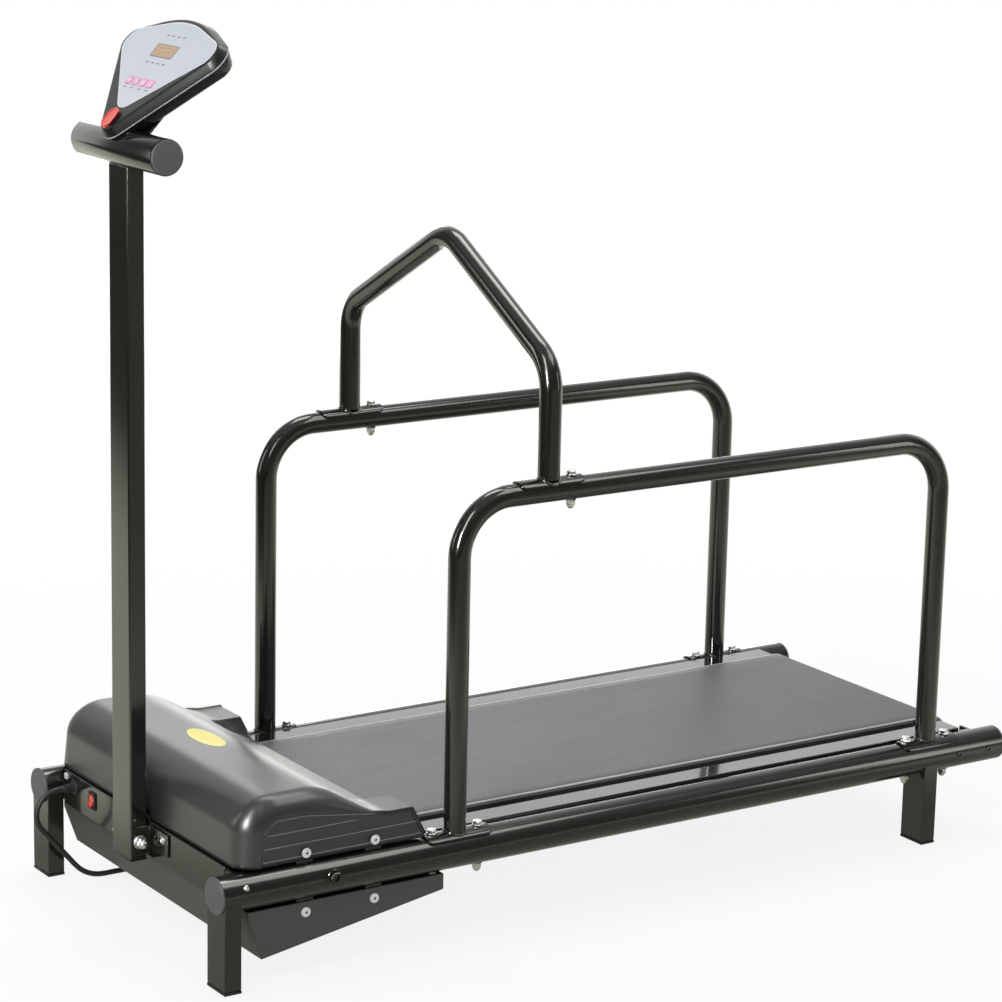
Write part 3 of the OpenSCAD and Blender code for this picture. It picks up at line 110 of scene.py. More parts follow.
class Wire:
    def __init__(self, tree, socket=None):
        self.tree, self.socket = tree, socket

    def node(self, kind, settings=None, inputs=None, out=0):
        made = self.tree.nodes.new(kind)
        for key, value in (settings or {}).items():
            setattr(made, key, value)
        for key, value in (inputs or {}).items():
            if isinstance(value, Wire):
                self.tree.links.new(value.socket, made.inputs[key])
            else:
                made.inputs[key].default_value = value
        return Wire(self.tree, made.outputs[out])

    def outputs(self):  # every output of the node behind this socket
        return {s.name: Wire(self.tree, s) for s in self.socket.node.outputs}

    def sum(self, operation, *values):
        return self.node("ShaderNodeMath", {"operation": operation}, dict(enumerate(values)))

    def __add__(self, other):
        return self.sum("ADD", self, other)

    def __radd__(self, other):
        return self.sum("ADD", other, self)

    def __sub__(self, other):
        return self.sum("SUBTRACT", self, other)

    def __rsub__(self, other):
        return self.sum("SUBTRACT", other, self)

    def __mul__(self, other):
        return self.sum("MULTIPLY", self, other)

    def __rmul__(self, other):
        return self.sum("MULTIPLY", other, self)

    def __gt__(self, other):
        return self.sum("GREATER_THAN", self, other)

    def __lt__(self, other):
        return self.sum("LESS_THAN", self, other)

    def size(self):
        return self.sum("ABSOLUTE", self)

    def sine(self):
        return self.sum("SINE", self)


def place(w):  # metres in the piece's own frame
    return w.node("ShaderNodeTexCoord", out=3)


def parts(w):  # the three numbers of a place
    return list(w.node("ShaderNodeSeparateXYZ", None, {0: place(w)}).outputs().values())


def noise(w, scale, detail=2.0, stretch=None):
    at = place(w)
    if stretch:
        at = w.node("ShaderNodeVectorMath", {"operation": "MULTIPLY"}, {0: at, 1: stretch})
    return w.node("ShaderNodeTexNoise", None, {"Vector": at, "Scale": scale, "Detail": detail})


def blendColour(w, share, first, second):
    first = first if isinstance(first, Wire) else (*first, 1)
    second = second if isinstance(second, Wire) else (*second, 1)
    return w.node("ShaderNodeMix", {"data_type": "RGBA"}, {0: share, 6: first, 7: second}, 2)


def bump(w, height, strength, distance):
    return w.node("ShaderNodeBump", None, {"Strength": strength, "Distance": distance, "Height": height})


finishes = {}


def finish(name, surface, fixed=None):
    material = bpy.data.materials.new(name)
    material.use_nodes = True
    tree = material.node_tree
    shader = tree.nodes["Principled BSDF"]
    for socket, value in (fixed or {}).items():
        shader.inputs[socket].default_value = value
    for socket, wire in surface(Wire(tree)).items():
        tree.links.new(wire.socket, shader.inputs[socket])
    finishes[name] = material


# finishes: noise scales are per metre, a bump is its strength and its depth in metres

paintLook = {
    "dark": (0.007, 0.007, 0.0065), "light": (0.013, 0.013, 0.0115), "cloud": 7.0,
    "dust": 900.0, "dustFrom": 0.72, "dustRough": 0.06, "peel": 240.0, "bump": (0.05, 0.0004),
}
paints = {  # roughness, haze, fixed sockets
    "blackPaint": (0.13, 0.06, {
        "IOR": 1.62, "Specular Tint": (1.0, 0.99, 0.92, 1), "Coat Weight": 0.35, "Coat Roughness": 0.06}),
    "ledgePaint": (0.09, 0.05, {"IOR": 1.9, "Coat Weight": 0.8, "Coat Roughness": 0.04}),
}


def sprayedPaint(p, rough, haze):
    def surface(w):
        cloud = noise(w, p["cloud"], 3.0)
        dust = noise(w, p["dust"], 1.0) > p["dustFrom"]
        return {
            "Base Color": blendColour(w, cloud, p["dark"], p["light"]),
            "Roughness": rough + haze * cloud + p["dustRough"] * dust,
            "Normal": bump(w, noise(w, p["peel"]), *p["bump"]),
        }
    return surface


plasticLook = {
    "cloud": 11.0, "cloudTint": 0.6, "pebbleTint": 0.4, "cloudRough": 0.08, "pebbleRough": 0.06,
    "depth": 0.0003,
}
plastics = {  # dark and light colour, roughness, grain, strength of its bump, fixed sockets
    "hoodPlastic": ((0.020, 0.020, 0.023), (0.033, 0.033, 0.037), 0.27, 1500.0, 0.06,
                    {"Specular IOR Level": 0.85}),
    "panPlastic": ((0.055, 0.055, 0.053), (0.080, 0.080, 0.077), 0.36, 1500.0, 0.06,
                   {"Specular IOR Level": 0.6}),
    "casePlastic": ((0.007, 0.007, 0.008), (0.013, 0.013, 0.015), 0.24, 1900.0, 0.08,
                    {"Specular IOR Level": 0.36}),
    "shellGloss": ((0.008, 0.008, 0.008), (0.015, 0.015, 0.014), 0.14, 1900.0, 0.04, {"Coat Weight": 0.3}),
    # pale grey that paints the highlight lines along the hood's side panel
    "panelLine": ((0.17, 0.175, 0.185), (0.25, 0.255, 0.265), 0.40, 1500.0, 0.05, {}),
    # pale grey that paints the highlight along the seam lip under the console's bezel
    "trimGrey": ((0.42, 0.43, 0.45), (0.58, 0.59, 0.61), 0.25, 1500.0, 0.05, {}),
    "screwWhite": ((0.70, 0.70, 0.68), (0.84, 0.84, 0.82), 0.30, 1500.0, 0.06, {}),
    "capPlastic": ((0.078, 0.077, 0.084), (0.115, 0.113, 0.122), 0.46, 1300.0, 0.16, {}),
    "rubberBlack": ((0.010, 0.010, 0.010), (0.024, 0.024, 0.024), 0.44, 1600.0, 0.18, {}),
    "keyPink": ((0.78, 0.20, 0.47), (0.90, 0.34, 0.60), 0.28, 1700.0, 0.05, {"Coat Weight": 0.3}),
    "keyPale": ((0.76, 0.50, 0.64), (0.86, 0.62, 0.75), 0.30, 1700.0, 0.05, {}),
    "keyWhite": ((0.80, 0.72, 0.76), (0.90, 0.82, 0.86), 0.35, 1500.0, 0.05, {}),
    "stopRed": ((0.70, 0.030, 0.016), (0.85, 0.055, 0.028), 0.18, 1200.0, 0.04, {"Coat Weight": 0.5}),
    "rockerRed": ((0.66, 0.020, 0.012), (0.82, 0.040, 0.025), 0.20, 1200.0, 0.05, {"Coat Weight": 0.4}),
    "markWhite": ((0.72, 0.72, 0.72), (0.84, 0.84, 0.84), 0.40, 1500.0, 0.05, {}),
    "printGrey": ((0.16, 0.17, 0.19), (0.24, 0.25, 0.28), 0.40, 1500.0, 0.05, {}),
    "ovalYellow": ((0.78, 0.64, 0.045), (0.88, 0.76, 0.09), 0.32, 1400.0, 0.05, {"Coat Weight": 0.2}),
    "plugGrey": ((0.016, 0.016, 0.017), (0.030, 0.030, 0.032), 0.40, 1500.0, 0.14, {}),
}


def mouldedPlastic(p, dark, light, rough, grain, strength):
    def surface(w):
        cloud = noise(w, p["cloud"], 3.0)
        pebble = noise(w, grain, 3.0)
        return {
            "Base Color": blendColour(w, cloud * p["cloudTint"] + pebble * p["pebbleTint"], dark, light),
            "Roughness": rough + p["cloudRough"] * cloud + p["pebbleRough"] * pebble,
            "Normal": bump(w, pebble, strength, p["depth"]),
        }
    return surface


metals = {  # grain and roughness as (scale, detail) and (least, spread)
    "zincPlate": {
        "dark": (0.70, 0.70, 0.69), "light": (0.86, 0.86, 0.84), "grain": (180.0, 3.0), "stretch": None,
        "rough": (0.18, 0.16), "pits": 1400.0, "bump": (0.06, 0.0002)},
    "rollerSteel": {
        "dark": (0.42, 0.42, 0.43), "light": (0.62, 0.62, 0.62), "grain": (60.0, 4.0),
        "stretch": (1.0, 22.0, 1.0), "rough": (0.24, 0.18), "pits": None, "bump": (0.08, 0.0002)},
    "heatSink": {
        "dark": (0.45, 0.46, 0.47), "light": (0.62, 0.63, 0.64), "grain": (420.0, 4.0), "stretch": None,
        "rough": (0.38, 0.2), "pits": None, "bump": (0.18, 0.0003)},
}


def grainedMetal(m):
    def surface(w):
        grain = noise(w, *m["grain"], m["stretch"])
        relief = noise(w, m["pits"]) if m["pits"] else grain
        return {
            "Base Color": blendColour(w, grain, m["dark"], m["light"]),
            "Roughness": m["rough"][0] + m["rough"][1] * grain,
            "Normal": bump(w, relief, *m["bump"]),
        }
    return surface


beltLook = {
    # groove and crest colours follow the weave's relief: the darker grooves are painted shade
    "groove": (0.085, 0.085, 0.086), "crest": (0.15, 0.15, 0.152), "edge": (0.62, 0.62, 0.60),
    "pitch": 0.0042, "lean": 0.62, "edgeFrom": 0.1976, "cloud": 5.0,
    "scuff": 60.0, "scuffStretch": (0.15, 1.0, 1.0), "rough": 0.42, "bump": (0.35, 0.0007),
}


def wovenBelt(w):
    b = beltLook
    x, y, _ = parts(w)
    pull = math.pi / b["pitch"]
    ridge = ((x + b["lean"] * y) * pull).sine().size() * ((x - b["lean"] * y) * pull).sine().size()
    cloud = noise(w, b["cloud"], 4.0)
    scuff = noise(w, b["scuff"], 3.0, b["scuffStretch"])
    # the weave's colour, darker in its grooves as painted shade over the bump's real relief
    ribShadedRubber = blendColour(w, ridge * 0.7 + cloud * 0.3, b["groove"], b["crest"])
    return {
        "Base Color": blendColour(w, y.size() > b["edgeFrom"], ribShadedRubber, b["edge"]),
        "Roughness": b["rough"] + 0.14 * scuff + 0.06 * ridge,
        "Normal": bump(w, ridge + 0.15 * scuff, *b["bump"]),
    }


boardLook = {
    "dark": (0.012, 0.011, 0.010), "light": (0.030, 0.027, 0.024), "fibre": 90.0,
    "fibreStretch": (0.2, 1.0, 3.0), "chip": 500.0, "rough": 0.48, "bump": (0.25, 0.0006),
}


def pressedBoard(w):
    b = boardLook
    fibre = noise(w, b["fibre"], 5.0, b["fibreStretch"])
    chip = noise(w, b["chip"])
    return {
        "Base Color": blendColour(w, fibre * 0.7 + chip * 0.3, b["dark"], b["light"]),
        "Roughness": b["rough"] + 0.25 * fibre,
        "Normal": bump(w, fibre + 0.4 * chip, *b["bump"]),
    }


filmLook = {
    "low": (0.64, 0.68, 0.74), "high": (0.53, 0.575, 0.65), "start": 0.05, "spread": 0.16,
    "grain": 2600.0, "rough": 0.30, "bump": (0.05, 0.0002),
}


def printedFilm(w):  # a shade darker towards the console's top
    f = filmLook
    share = w.node("ShaderNodeClamp", None, {0: (parts(w)[0] - f["start"]) * (1 / f["spread"])})
    grain = noise(w, f["grain"])
    return {
        "Base Color": blendColour(w, share + 0.08 * grain, f["low"], f["high"]),
        "Roughness": f["rough"] + 0.10 * grain,
        "Normal": bump(w, grain, *f["bump"]),
    }


glassLook = {
    "dark": (0.44, 0.30, 0.19), "light": (0.60, 0.44, 0.30), "cloud": 60.0, "lines": 5200.0, "lineTint": 0.15,
    "rough": 0.40,
}


def amberGlass(w):
    g = glassLook
    line = ((parts(w)[0] * g["lines"]).sine() * 0.5 + 0.5) * g["lineTint"]
    cloud = noise(w, g["cloud"])
    return {
        "Base Color": blendColour(w, cloud + line, g["dark"], g["light"]),
        "Roughness": g["rough"] + 0.1 * cloud,
    }


litLook = {
    "dark": (0.85, 0.42, 0.18), "light": (0.95, 0.60, 0.34), "glowDark": (0.95, 0.45, 0.16),
    "glowLight": (1.0, 0.62, 0.32), "cloud": 300.0, "rough": 0.3,
}


def litSegment(w):
    s = litLook
    cloud = noise(w, s["cloud"])
    return {
        "Base Color": blendColour(w, cloud, s["dark"], s["light"]),
        "Emission Color": blendColour(w, cloud, s["glowDark"], s["glowLight"]),
        "Roughness": s["rough"] + 0.1 * cloud,
    }


for name, (rough, haze, fixed) in paints.items():
    finish(name, sprayedPaint(paintLook, rough, haze), fixed)
for name, (*look, fixed) in plastics.items():
    finish(name, mouldedPlastic(plasticLook, *look), fixed)
for name, look in metals.items():
    finish(name, grainedMetal(look), {"Metallic": 1.0})
finish("beltRubber", wovenBelt, {"Specular IOR Level": 0.5})
finish("deckBoard", pressedBoard)
finish("consoleFilm", printedFilm, {"Coat Weight": 0.25, "Coat Roughness": 0.12})
finish("displayGlass", amberGlass, {"Coat Weight": 0.1, "Coat Roughness": 0.1})
finish("displayLit", litSegment, {"Emission Strength": 0.2})

finishOf = {
    "blackPaint": """left_side_rail right_side_rail front_legs rear_legs cross_braces front_panel cover_tabs
        rear_axle_brackets front_axle_bolts rear_bracket_screws left_handrail right_handrail harness_arch
        motor_bracket post_bracket post console_bar console_mount""",
    "panPlastic": "belly_pan",
    "ledgePaint": "left_ledge right_ledge",
    "hoodPlastic": "hood motor_body",
    "casePlastic": "console_back console_bezel switch_housing",
    "capPlastic": "rail_end_caps bar_caps",
    "rubberBlack": "leg_feet deck_cushions drive_belt cord_gland cord_run cord_coil",
    "plugGrey": "cord_plug",
    "beltRubber": "running_belt",
    "zincPlate": """tension_bolts saddle_bolts saddle_nuts cover_screws bracket_screws post_bolt
        console_screws""",
    "rollerSteel": "front_axle front_roller drive_pulley rear_axle rear_roller motor_rotor",
    "deckBoard": "deck_board",
    "heatSink": "motor_controller",
    "consoleFilm": "console_overlay",
    "displayGlass": "display_window",
    "keyPink": "key_1 key_2 key_3 key_4",
    "stopRed": "stop_button",
    "rockerRed": "power_rocker",
}
for look, names in finishOf.items():
    for name in names.split():
        nodes[name].data.materials.clear()
        nodes[name].data.materials.append(finishes[look])
print("finishes:", len(finishes))


# numbers and mesh helpers

def clamped(t):
    return min(1, max(0, t))


def smooth(t):
    u = clamped(t)
    return u * u * (3 - 2 * u)


def mix(a, b, t):
    return a + (b - a) * t


def between(pair, x):
    return (x - pair[0]) / (pair[1] - pair[0])


def makePiece(name, bm, look, body="frame", stands=(), sharp=38, at=None, joined=()):
    bmesh.ops.recalc_face_normals(bm, faces=bm.faces)
    mesh = bpy.data.meshes.new(name)
    bm.to_mesh(mesh)
    bm.free()
    mesh.transform(Matrix.Scale(0.001, 4))
    mesh.shade_smooth()
    mesh.set_sharp_from_angle(angle=math.radians(sharp))
    piece = bpy.data.objects.new(name, mesh)
    scene.collection.objects.link(piece)
    for each in (look, *joined):
        mesh.materials.append(finishes[each])
    if at:
        piece.matrix_world = at
    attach(piece, body)
    if stands:
        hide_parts(*stands)
    return piece


def circle(radius, sides):
    angles = [turn * k / sides for k in range(sides)]
    return [(radius * math.cos(a), radius * math.sin(a)) for a in angles]


def softSquare(halfA, halfB, radius, steps):  # rounded rectangle
    outline = []
    for k, (sa, sb) in enumerate(((1, 1), (-1, 1), (-1, -1), (1, -1))):
        for i in range(steps + 1):
            angle = turn * (k + i / steps) / 4
            outline.append((sa * (halfA - radius) + radius * math.cos(angle),
                            sb * (halfB - radius) + radius * math.sin(angle)))
    return outline


def skin(bm, rings, closed=False, capped=True, index=0):  # quads between rings of equal length
    grid = [[bm.verts.new(p) for p in ring] for ring in rings]
    count = len(grid[0])
    pairs = list(zip(grid, grid[1:])) + ([(grid[-1], grid[0])] if closed else [])
    for low, high in pairs:
        for k in range(count):
            face = bm.faces.new((low[k], low[(k + 1) % count], high[(k + 1) % count], high[k]))
            face.material_index = index
    if capped and not closed:
        for ring in (grid[0], grid[-1]):
            bm.faces.new(ring).material_index = index
    return grid


def sweep(bm, path, outline, closed=False, up=None, index=0):  # outline carried along a path
    path = [Vector(p) for p in path]
    count = len(path)
    rings, side = [], None
    for i, p in enumerate(path):
        before = path[(i - 1) % count] if closed or i else p
        after = path[(i + 1) % count] if closed or i < count - 1 else p
        along = (after - before).normalized()
        if side is None:
            guess = Vector(up) if up else Vector((0, 0, 1)) if abs(along.z) < 0.9 else Vector((0, 1, 0))
            side = along.cross(guess).normalized()
        side = (side - along * side.dot(along)).normalized()
        lift = side.cross(along)
        rings.append([p + side * a + lift * b for a, b in outline])
    skin(bm, rings, closed, index=index)


def fillet(corners, radius, steps):  # a bent tube's centre line
    corners = [Vector(c) for c in corners]
    line = [corners[0]]
    for before, at, after in zip(corners, corners[1:], corners[2:]):
        a, b = (before - at).normalized(), (after - at).normalized()
        half = a.angle(b) / 2
        back = radius / math.tan(half)
        centre = at + (a + b).normalized() * (radius / math.sin(half))
        start, end = (at + a * back - centre).normalized(), (at + b * back - centre).normalized()
        line += [centre + radius * start.slerp(end, k / steps) for k in range(steps + 1)]
    return line + [corners[-1]]


def frameTo(origin, axis):  # local Z along an axis
    return Matrix.Translation(origin) @ Vector(axis).to_track_quat("Z", "Y").to_matrix().to_4x4()


def turned(bm, profile, at, sides=32, lobes=None, index=0):  # a profile spun round Z, with lobed rings
    rings = []
    for k, (radius, height) in enumerate(profile):
        wave = (lobes or {}).get(k, 0.0)
        ring = []
        for i in range(sides):
            a = turn * i / sides
            r = radius * (1 + wave * math.cos(4 * a))
            ring.append(at @ Vector((r * math.cos(a), r * math.sin(a), height)))
        rings.append(ring)
    skin(bm, rings, index=index)


def roundBox(bm, low, high, ease, at=None, index=0):
    made = bmesh.ops.create_cube(bm, size=1)["verts"]
    low, high = Vector(low), Vector(high)
    for v in made:
        v.co = Vector(((low + high)[i] / 2 + v.co[i] * (high - low)[i] for i in range(3)))
    edges = list({e for v in made for e in v.link_edges})
    faces = bmesh.ops.bevel(bm, geom=edges, offset=ease, segments=3, profile=0.5, affect="EDGES")["faces"]
    island = {v for f in faces for v in f.verts} | {v for v in made if v.is_valid}
    for f in {f for v in island for f in v.link_faces}:
        f.material_index = index
    if at:
        bmesh.ops.transform(bm, matrix=at, verts=list(island))


foldLook = {"merge": 0.002, "flat": 0.6, "fold": 35, "shortest": 9.0, "segments": 3}


def easedNode(node, name, look, ease, slot):  # the node's own shape with rounded folds
    f = foldLook
    bm = bmesh.new()
    bm.from_mesh(nodes[node].data)
    bmesh.ops.scale(bm, vec=(1000, 1000, 1000), verts=bm.verts)
    bmesh.ops.remove_doubles(bm, verts=bm.verts, dist=f["merge"])
    bmesh.ops.dissolve_limit(bm, angle_limit=math.radians(f["flat"]), verts=bm.verts, edges=bm.edges)
    folds = [e for e in bm.edges if len(e.link_faces) == 2
             and e.calc_face_angle(0) > math.radians(f["fold"]) and e.calc_length() > f["shortest"]]
    bmesh.ops.bevel(bm, geom=folds, offset=ease, segments=f["segments"], profile=0.5, affect="EDGES",
                    clamp_overlap=False, loop_slide=True)
    piece = makePiece(name, bm, look, nodes[node]["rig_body"], (node,))
    piece.modifiers.new("flats", "WEIGHTED_NORMAL").keep_sharp = True


# mains cord: the route of its solid, then a coil of two layers held by a tie

cordLook = {
    "diameter": 8, "round": 5, "floor": 4.4, "pieceStep": 5.0,
    "exit": (-671.4607, 210, 146), "loop": 34, "fall": 50, "sweep": 60, "coilStart": (-240, 200),
    "loopSteps": 7, "sweepSteps": 4, "laySteps": 7,
    "coilRadius": 55, "coilStep": 9.8, "coilTurns": 2, "coilRings": 48, "lead": 8,
}


def cordRoute(c):  # a loop out of the gland, a fall to the floor and a straight lay under the frame
    x, y, z = c["exit"]
    fall, floor = math.radians(c["fall"]), c["floor"]
    x -= c["diameter"]
    points = [c["exit"]]
    for k in range(c["loopSteps"] + 1):
        a = (math.pi - fall) * k / c["loopSteps"]
        points.append((x - c["loop"] * math.sin(a), y, z - c["loop"] * (1 - math.cos(a))))
    bend = points[-1]
    low = floor + c["sweep"] * (1 - math.cos(fall))
    ahead = bend[0] + (bend[2] - low) / math.tan(fall)
    points += [(mix(bend[0], ahead, t), y, mix(bend[2], low, t)) for t in (0.15, 0.5, 0.85)]
    touch = ahead + c["sweep"] * math.sin(fall)
    for k in range(c["sweepSteps"] + 1):
        a = fall * (1 - k / c["sweepSteps"])
        points.append((touch - c["sweep"] * math.sin(a), y, floor + c["sweep"] * (1 - math.cos(a))))
    layStart, (coilX, coilY) = touch + 1.5 * c["diameter"], c["coilStart"]
    for k in range(c["laySteps"] + 1):
        t = k / c["laySteps"]
        points.append((mix(layStart, coilX, t), mix(y, coilY, smooth(t)), floor))
    return points


def cordPath(c):
    points = [Vector(p) for p in cordRoute(c)]
    ways = []
    for i, p in enumerate(points):
        a = p - points[i - 1] if i else points[1] - p
        b = points[i + 1] - p if i < len(points) - 1 else a
        ways.append((a.normalized() * b.length + b.normalized() * a.length).normalized())
    line = []
    for i in range(len(points) - 1):
        span = (points[i + 1] - points[i]).length
        steps = math.ceil(span / c["pieceStep"])
        for k in range(steps):
            t = k / steps
            line.append((2 * t ** 3 - 3 * t * t + 1) * points[i] + (t ** 3 - 2 * t * t + t) * span * ways[i]
                        + (3 * t * t - 2 * t ** 3) * points[i + 1] + (t ** 3 - t * t) * span * ways[i + 1])
    start, turns = points[-1], c["coilTurns"]
    line.append(start)
    total = 2 * turns + 0.5
    for k in range(int(c["coilRings"] * total) + 1):
        n = k / c["coilRings"]
        r = c["coilRadius"] - c["coilStep"] * min(n, turns, total - n)
        angle = turn / 4 - turn * n
        line.append(Vector((start.x + c["lead"] + r * math.cos(angle),
                            start.y - c["coilRadius"] + r * math.sin(angle),
                            start.z + c["coilStep"] * smooth(2 * (n - turns)))))
    line.append(line[-1] - Vector((c["lead"], 0, 0)))
    return line


def lengthOf(line):
    return sum((b - a).length for a, b in zip(line, line[1:]))


cordLine = cordPath(cordLook)
curve = bpy.data.curves.new("mainsCord", "CURVE")
curve.dimensions = "3D"
curve.bevel_depth = cordLook["diameter"] / 2000
curve.bevel_resolution = cordLook["round"]
curve.use_fill_caps = True
spline = curve.splines.new("POLY")
spline.points.add(len(cordLine) - 1)
for point, p in zip(spline.points, cordLine):
    point.co = (*(p / 1000), 1)
spline.use_smooth = True
curve.materials.append(finishes["rubberBlack"])
mainsCord = bpy.data.objects.new("mainsCord", curve)
scene.collection.objects.link(mainsCord)
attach(mainsCord, "frame")
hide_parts("cord_run", "cord_coil")

plugLook = {
    "neck": 24, "body": 38, "width": 26, "corner": 6, "ribs": 5, "pin": (17, 1.6, 6.4), "pitch": 12.7,
    "waist": [(0, 0.80), (2.5, 0.93), (7, 1), (12, 0.97), (18, 0.90), (24, 0.90), (30, 0.97), (35.5, 1),
              (38, 0.94)],
}


def makePlug(p):
    bm = bmesh.new()
    end = cordLine[-1]
    r = cordLook["diameter"] / 2
    profile = [(r + 0.25, 0)]
    for k in range(p["ribs"]):  # ringed strain relief
        at = 1 + k * p["neck"] * 0.8 / p["ribs"]
        wide = r + 0.6 + 0.45 * k
        profile += [(wide, at), (wide + 0.5, at + 0.8), (wide + 0.5, at + 2.0), (wide, at + 2.8)]
    profile.append((r * 1.8, p["neck"] + 0.5))
    turned(bm, profile, frameTo(end, (-1, 0, 0)), 28)
    outline = softSquare(p["width"] / 2, (2 * end.z - 0.4) / 2, p["corner"], 6)
    rings = []
    for along, share in p["waist"]:
        x = end.x - p["neck"] - along
        rings.append([(x, end.y + a * share, end.z + b * (0.5 + 0.5 * share)) for a, b in outline])
    skin(bm, rings)
    half = Vector((p["pin"][0] / 4, p["pin"][1] / 2, p["pin"][2] / 2))
    for side in (-1, 1):
        at = Vector((end.x - p["neck"] - p["body"] - half.x, end.y + side * p["pitch"] / 2, end.z))
        roundBox(bm, at - half, at + half, 0.35, index=1)
    return makePiece("cordPlug", bm, "plugGrey", stands=("cord_plug",),
                     joined=("zincPlate",))


tieLook = {"clear": 5.0, "under": 0.2, "over": 4.5, "bend": 4.2, "strap": (0.15, 2.5)}


def makeTie(t, c):  # a flat strap round the coil's turns
    bm = bmesh.new()
    centre = Vector((c["coilStart"][0] + c["lead"], c["coilStart"][1] - c["coilRadius"], 0))
    near, far = c["coilRadius"] - 2 * c["coilStep"] - t["clear"], c["coilRadius"] + t["clear"]
    low, high = t["under"], c["floor"] + c["coilStep"] + t["over"]
    loop = [(centre.x + (near + far) / 2 + a, centre.y, (low + high) / 2 + b)
            for a, b in softSquare((far - near) / 2, (high - low) / 2, t["bend"], 6)]
    thin, wide = t["strap"]
    sweep(bm, loop, [(-thin, -wide), (thin, -wide), (thin, wide), (-thin, wide)], closed=True, up=(0, 1, 0))
    knot = Vector((centre.x + (near + far) / 2, centre.y, high + 0.9))
    roundBox(bm, knot - Vector((4, 3, 0.9)), knot + Vector((4, 3, 1.1)), 0.7)
    return makePiece("cordTie", bm, "rubberBlack")


cordPlug = makePlug(plugLook)
cordTie = makeTie(tieLook, cordLook)
lengthOf(cordLine) / 1000
print("cord: %.3f m" % (lengthOf(cordLine) / 1000))


# tubes of the frame

tubeLook = {
    "rail": 26, "railSides": 72, "handrail": 16, "sides": 48, "bendSteps": 18, "sunk": 1.5, "bead": 1.9,
}


def makeRails():
    for node, side in (("left_side_rail", -1), ("right_side_rail", 1)):
        bm = bmesh.new()
        ends = [(end.x * 1000, side * railSide, railHeight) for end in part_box(node)]
        sweep(bm, ends, circle(tubeLook["rail"], tubeLook["railSides"]))
        name = node.replace("_side_rail", "RailTube")
        makePiece(name, bm, "blackPaint", stands=(node,))


saddleLook = {
    "length": 106, "sheet": 3, "corner": 9, "gap": 0.1, "ease": 0.9, "spread": 16, "cornerSteps": 6,
    "railIn": 24, "railOut": 46, "archAngle": 62,
}


def addSaddle(bm, centre, tubeRadius, fromAngle, toAngle):  # a curved plate with round corners
    s = saddleLook
    inner, outer = tubeRadius + s["gap"], tubeRadius + s["gap"] + s["sheet"]
    half, corner, ease, count = s["length"] / 2, s["corner"], s["ease"], s["spread"]
    slip = ease / outer
    steps = s["cornerSteps"]
    stations = [half - corner * (1 - math.cos(turn / 4 * k / steps)) for k in range(steps + 1)]
    stations = sorted({round(x, 3) for x in stations} | {round(-x, 3) for x in stations})
    rings = []
    for x in stations:
        over = max(0, abs(x) - half + corner)
        cut = (corner - math.sqrt(max(0, corner ** 2 - over ** 2))) / outer
        a, b = math.radians(fromAngle) + cut, math.radians(toAngle) - cut
        spread = [a + (b - a) * k / count for k in range(count + 1)]
        ring = []
        for k, v in enumerate(spread):
            low, high = a + (slip if k else 0), b - (slip if k < count else 0)
            ring.append((outer - (ease if k in (0, count) else 0), min(max(v, low), high)))
        ring += [(inner, v) for v in reversed(spread)]
        rings.append([centre + Vector((x, r * math.sin(v), r * math.cos(v))) for r, v in ring])
    skin(bm, rings)


def addBead(bm, foot, tubeRadius, underRadius):  # weld where an upright meets its saddle
    loop = []
    for k in range(tubeLook["sides"]):
        a = turn * k / tubeLook["sides"]
        y = tubeRadius * math.sin(a)
        loop.append(foot + Vector((tubeRadius * math.cos(a), y, math.sqrt(underRadius ** 2 - y * y) + 0.3)))
    sweep(bm, loop, circle(tubeLook["bead"], 10), closed=True, up=(0, 0, 1))


handrailLook = {"front": 379, "span": 862, "height": 500, "bend": 80}


def makeHandrails(h):
    for node, side in (("left_handrail", -1), ("right_handrail", 1)):
        bm = bmesh.new()
        y, x0, x1 = side * railSide, alongX(h["front"]), alongX(h["front"] + h["span"])
        foot, top = railHeight + tubeLook["rail"] + tubeLook["sunk"], railHeight + h["height"]
        corners = [(x0, y, foot), (x0, y, top), (x1, y, top), (x1, y, foot)]
        path = fillet(corners, h["bend"], tubeLook["bendSteps"])
        sweep(bm, path, circle(tubeLook["handrail"], tubeLook["sides"]))
        inward, outward = saddleLook["railIn"], saddleLook["railOut"]
        angles = (-outward, inward) if side < 0 else (-inward, outward)
        for x in (x0, x1):
            centre = Vector((x, y, railHeight))
            addSaddle(bm, centre, tubeLook["rail"], *angles)
            addBead(bm, centre, tubeLook["handrail"], tubeLook["rail"] + saddleLook["sheet"])
        name = node.replace("_handrail", "HandrailTube")
        makePiece(name, bm, "blackPaint", stands=(node,))


archLook = {"back": 145, "knee": 177, "slope": 29, "bend": 60}


def makeArch(a):
    bm = bmesh.new()
    x = alongX(handrailLook["front"] + a["back"])
    axis, tube = railHeight + handrailLook["height"], tubeLook["handrail"]
    foot, knee = axis + tube + tubeLook["sunk"], axis + a["knee"]
    peak = knee + railSide * math.tan(math.radians(a["slope"]))
    side = railSide
    corners = [(x, -side, foot), (x, -side, knee), (x, 0, peak), (x, side, knee), (x, side, foot)]
    path = fillet(corners, a["bend"], tubeLook["bendSteps"])
    sweep(bm, path, circle(tube, tubeLook["sides"]), up=(1, 0, 0))
    for y in (-side, side):
        centre = Vector((x, y, axis))
        addSaddle(bm, centre, tube, -saddleLook["archAngle"], saddleLook["archAngle"])
        addBead(bm, centre, tube, tube + saddleLook["sheet"])
    makePiece("harnessArchTube", bm, "blackPaint", stands=("harness_arch",))


makeRails()
makeHandrails(handrailLook)
makeArch(archLook)

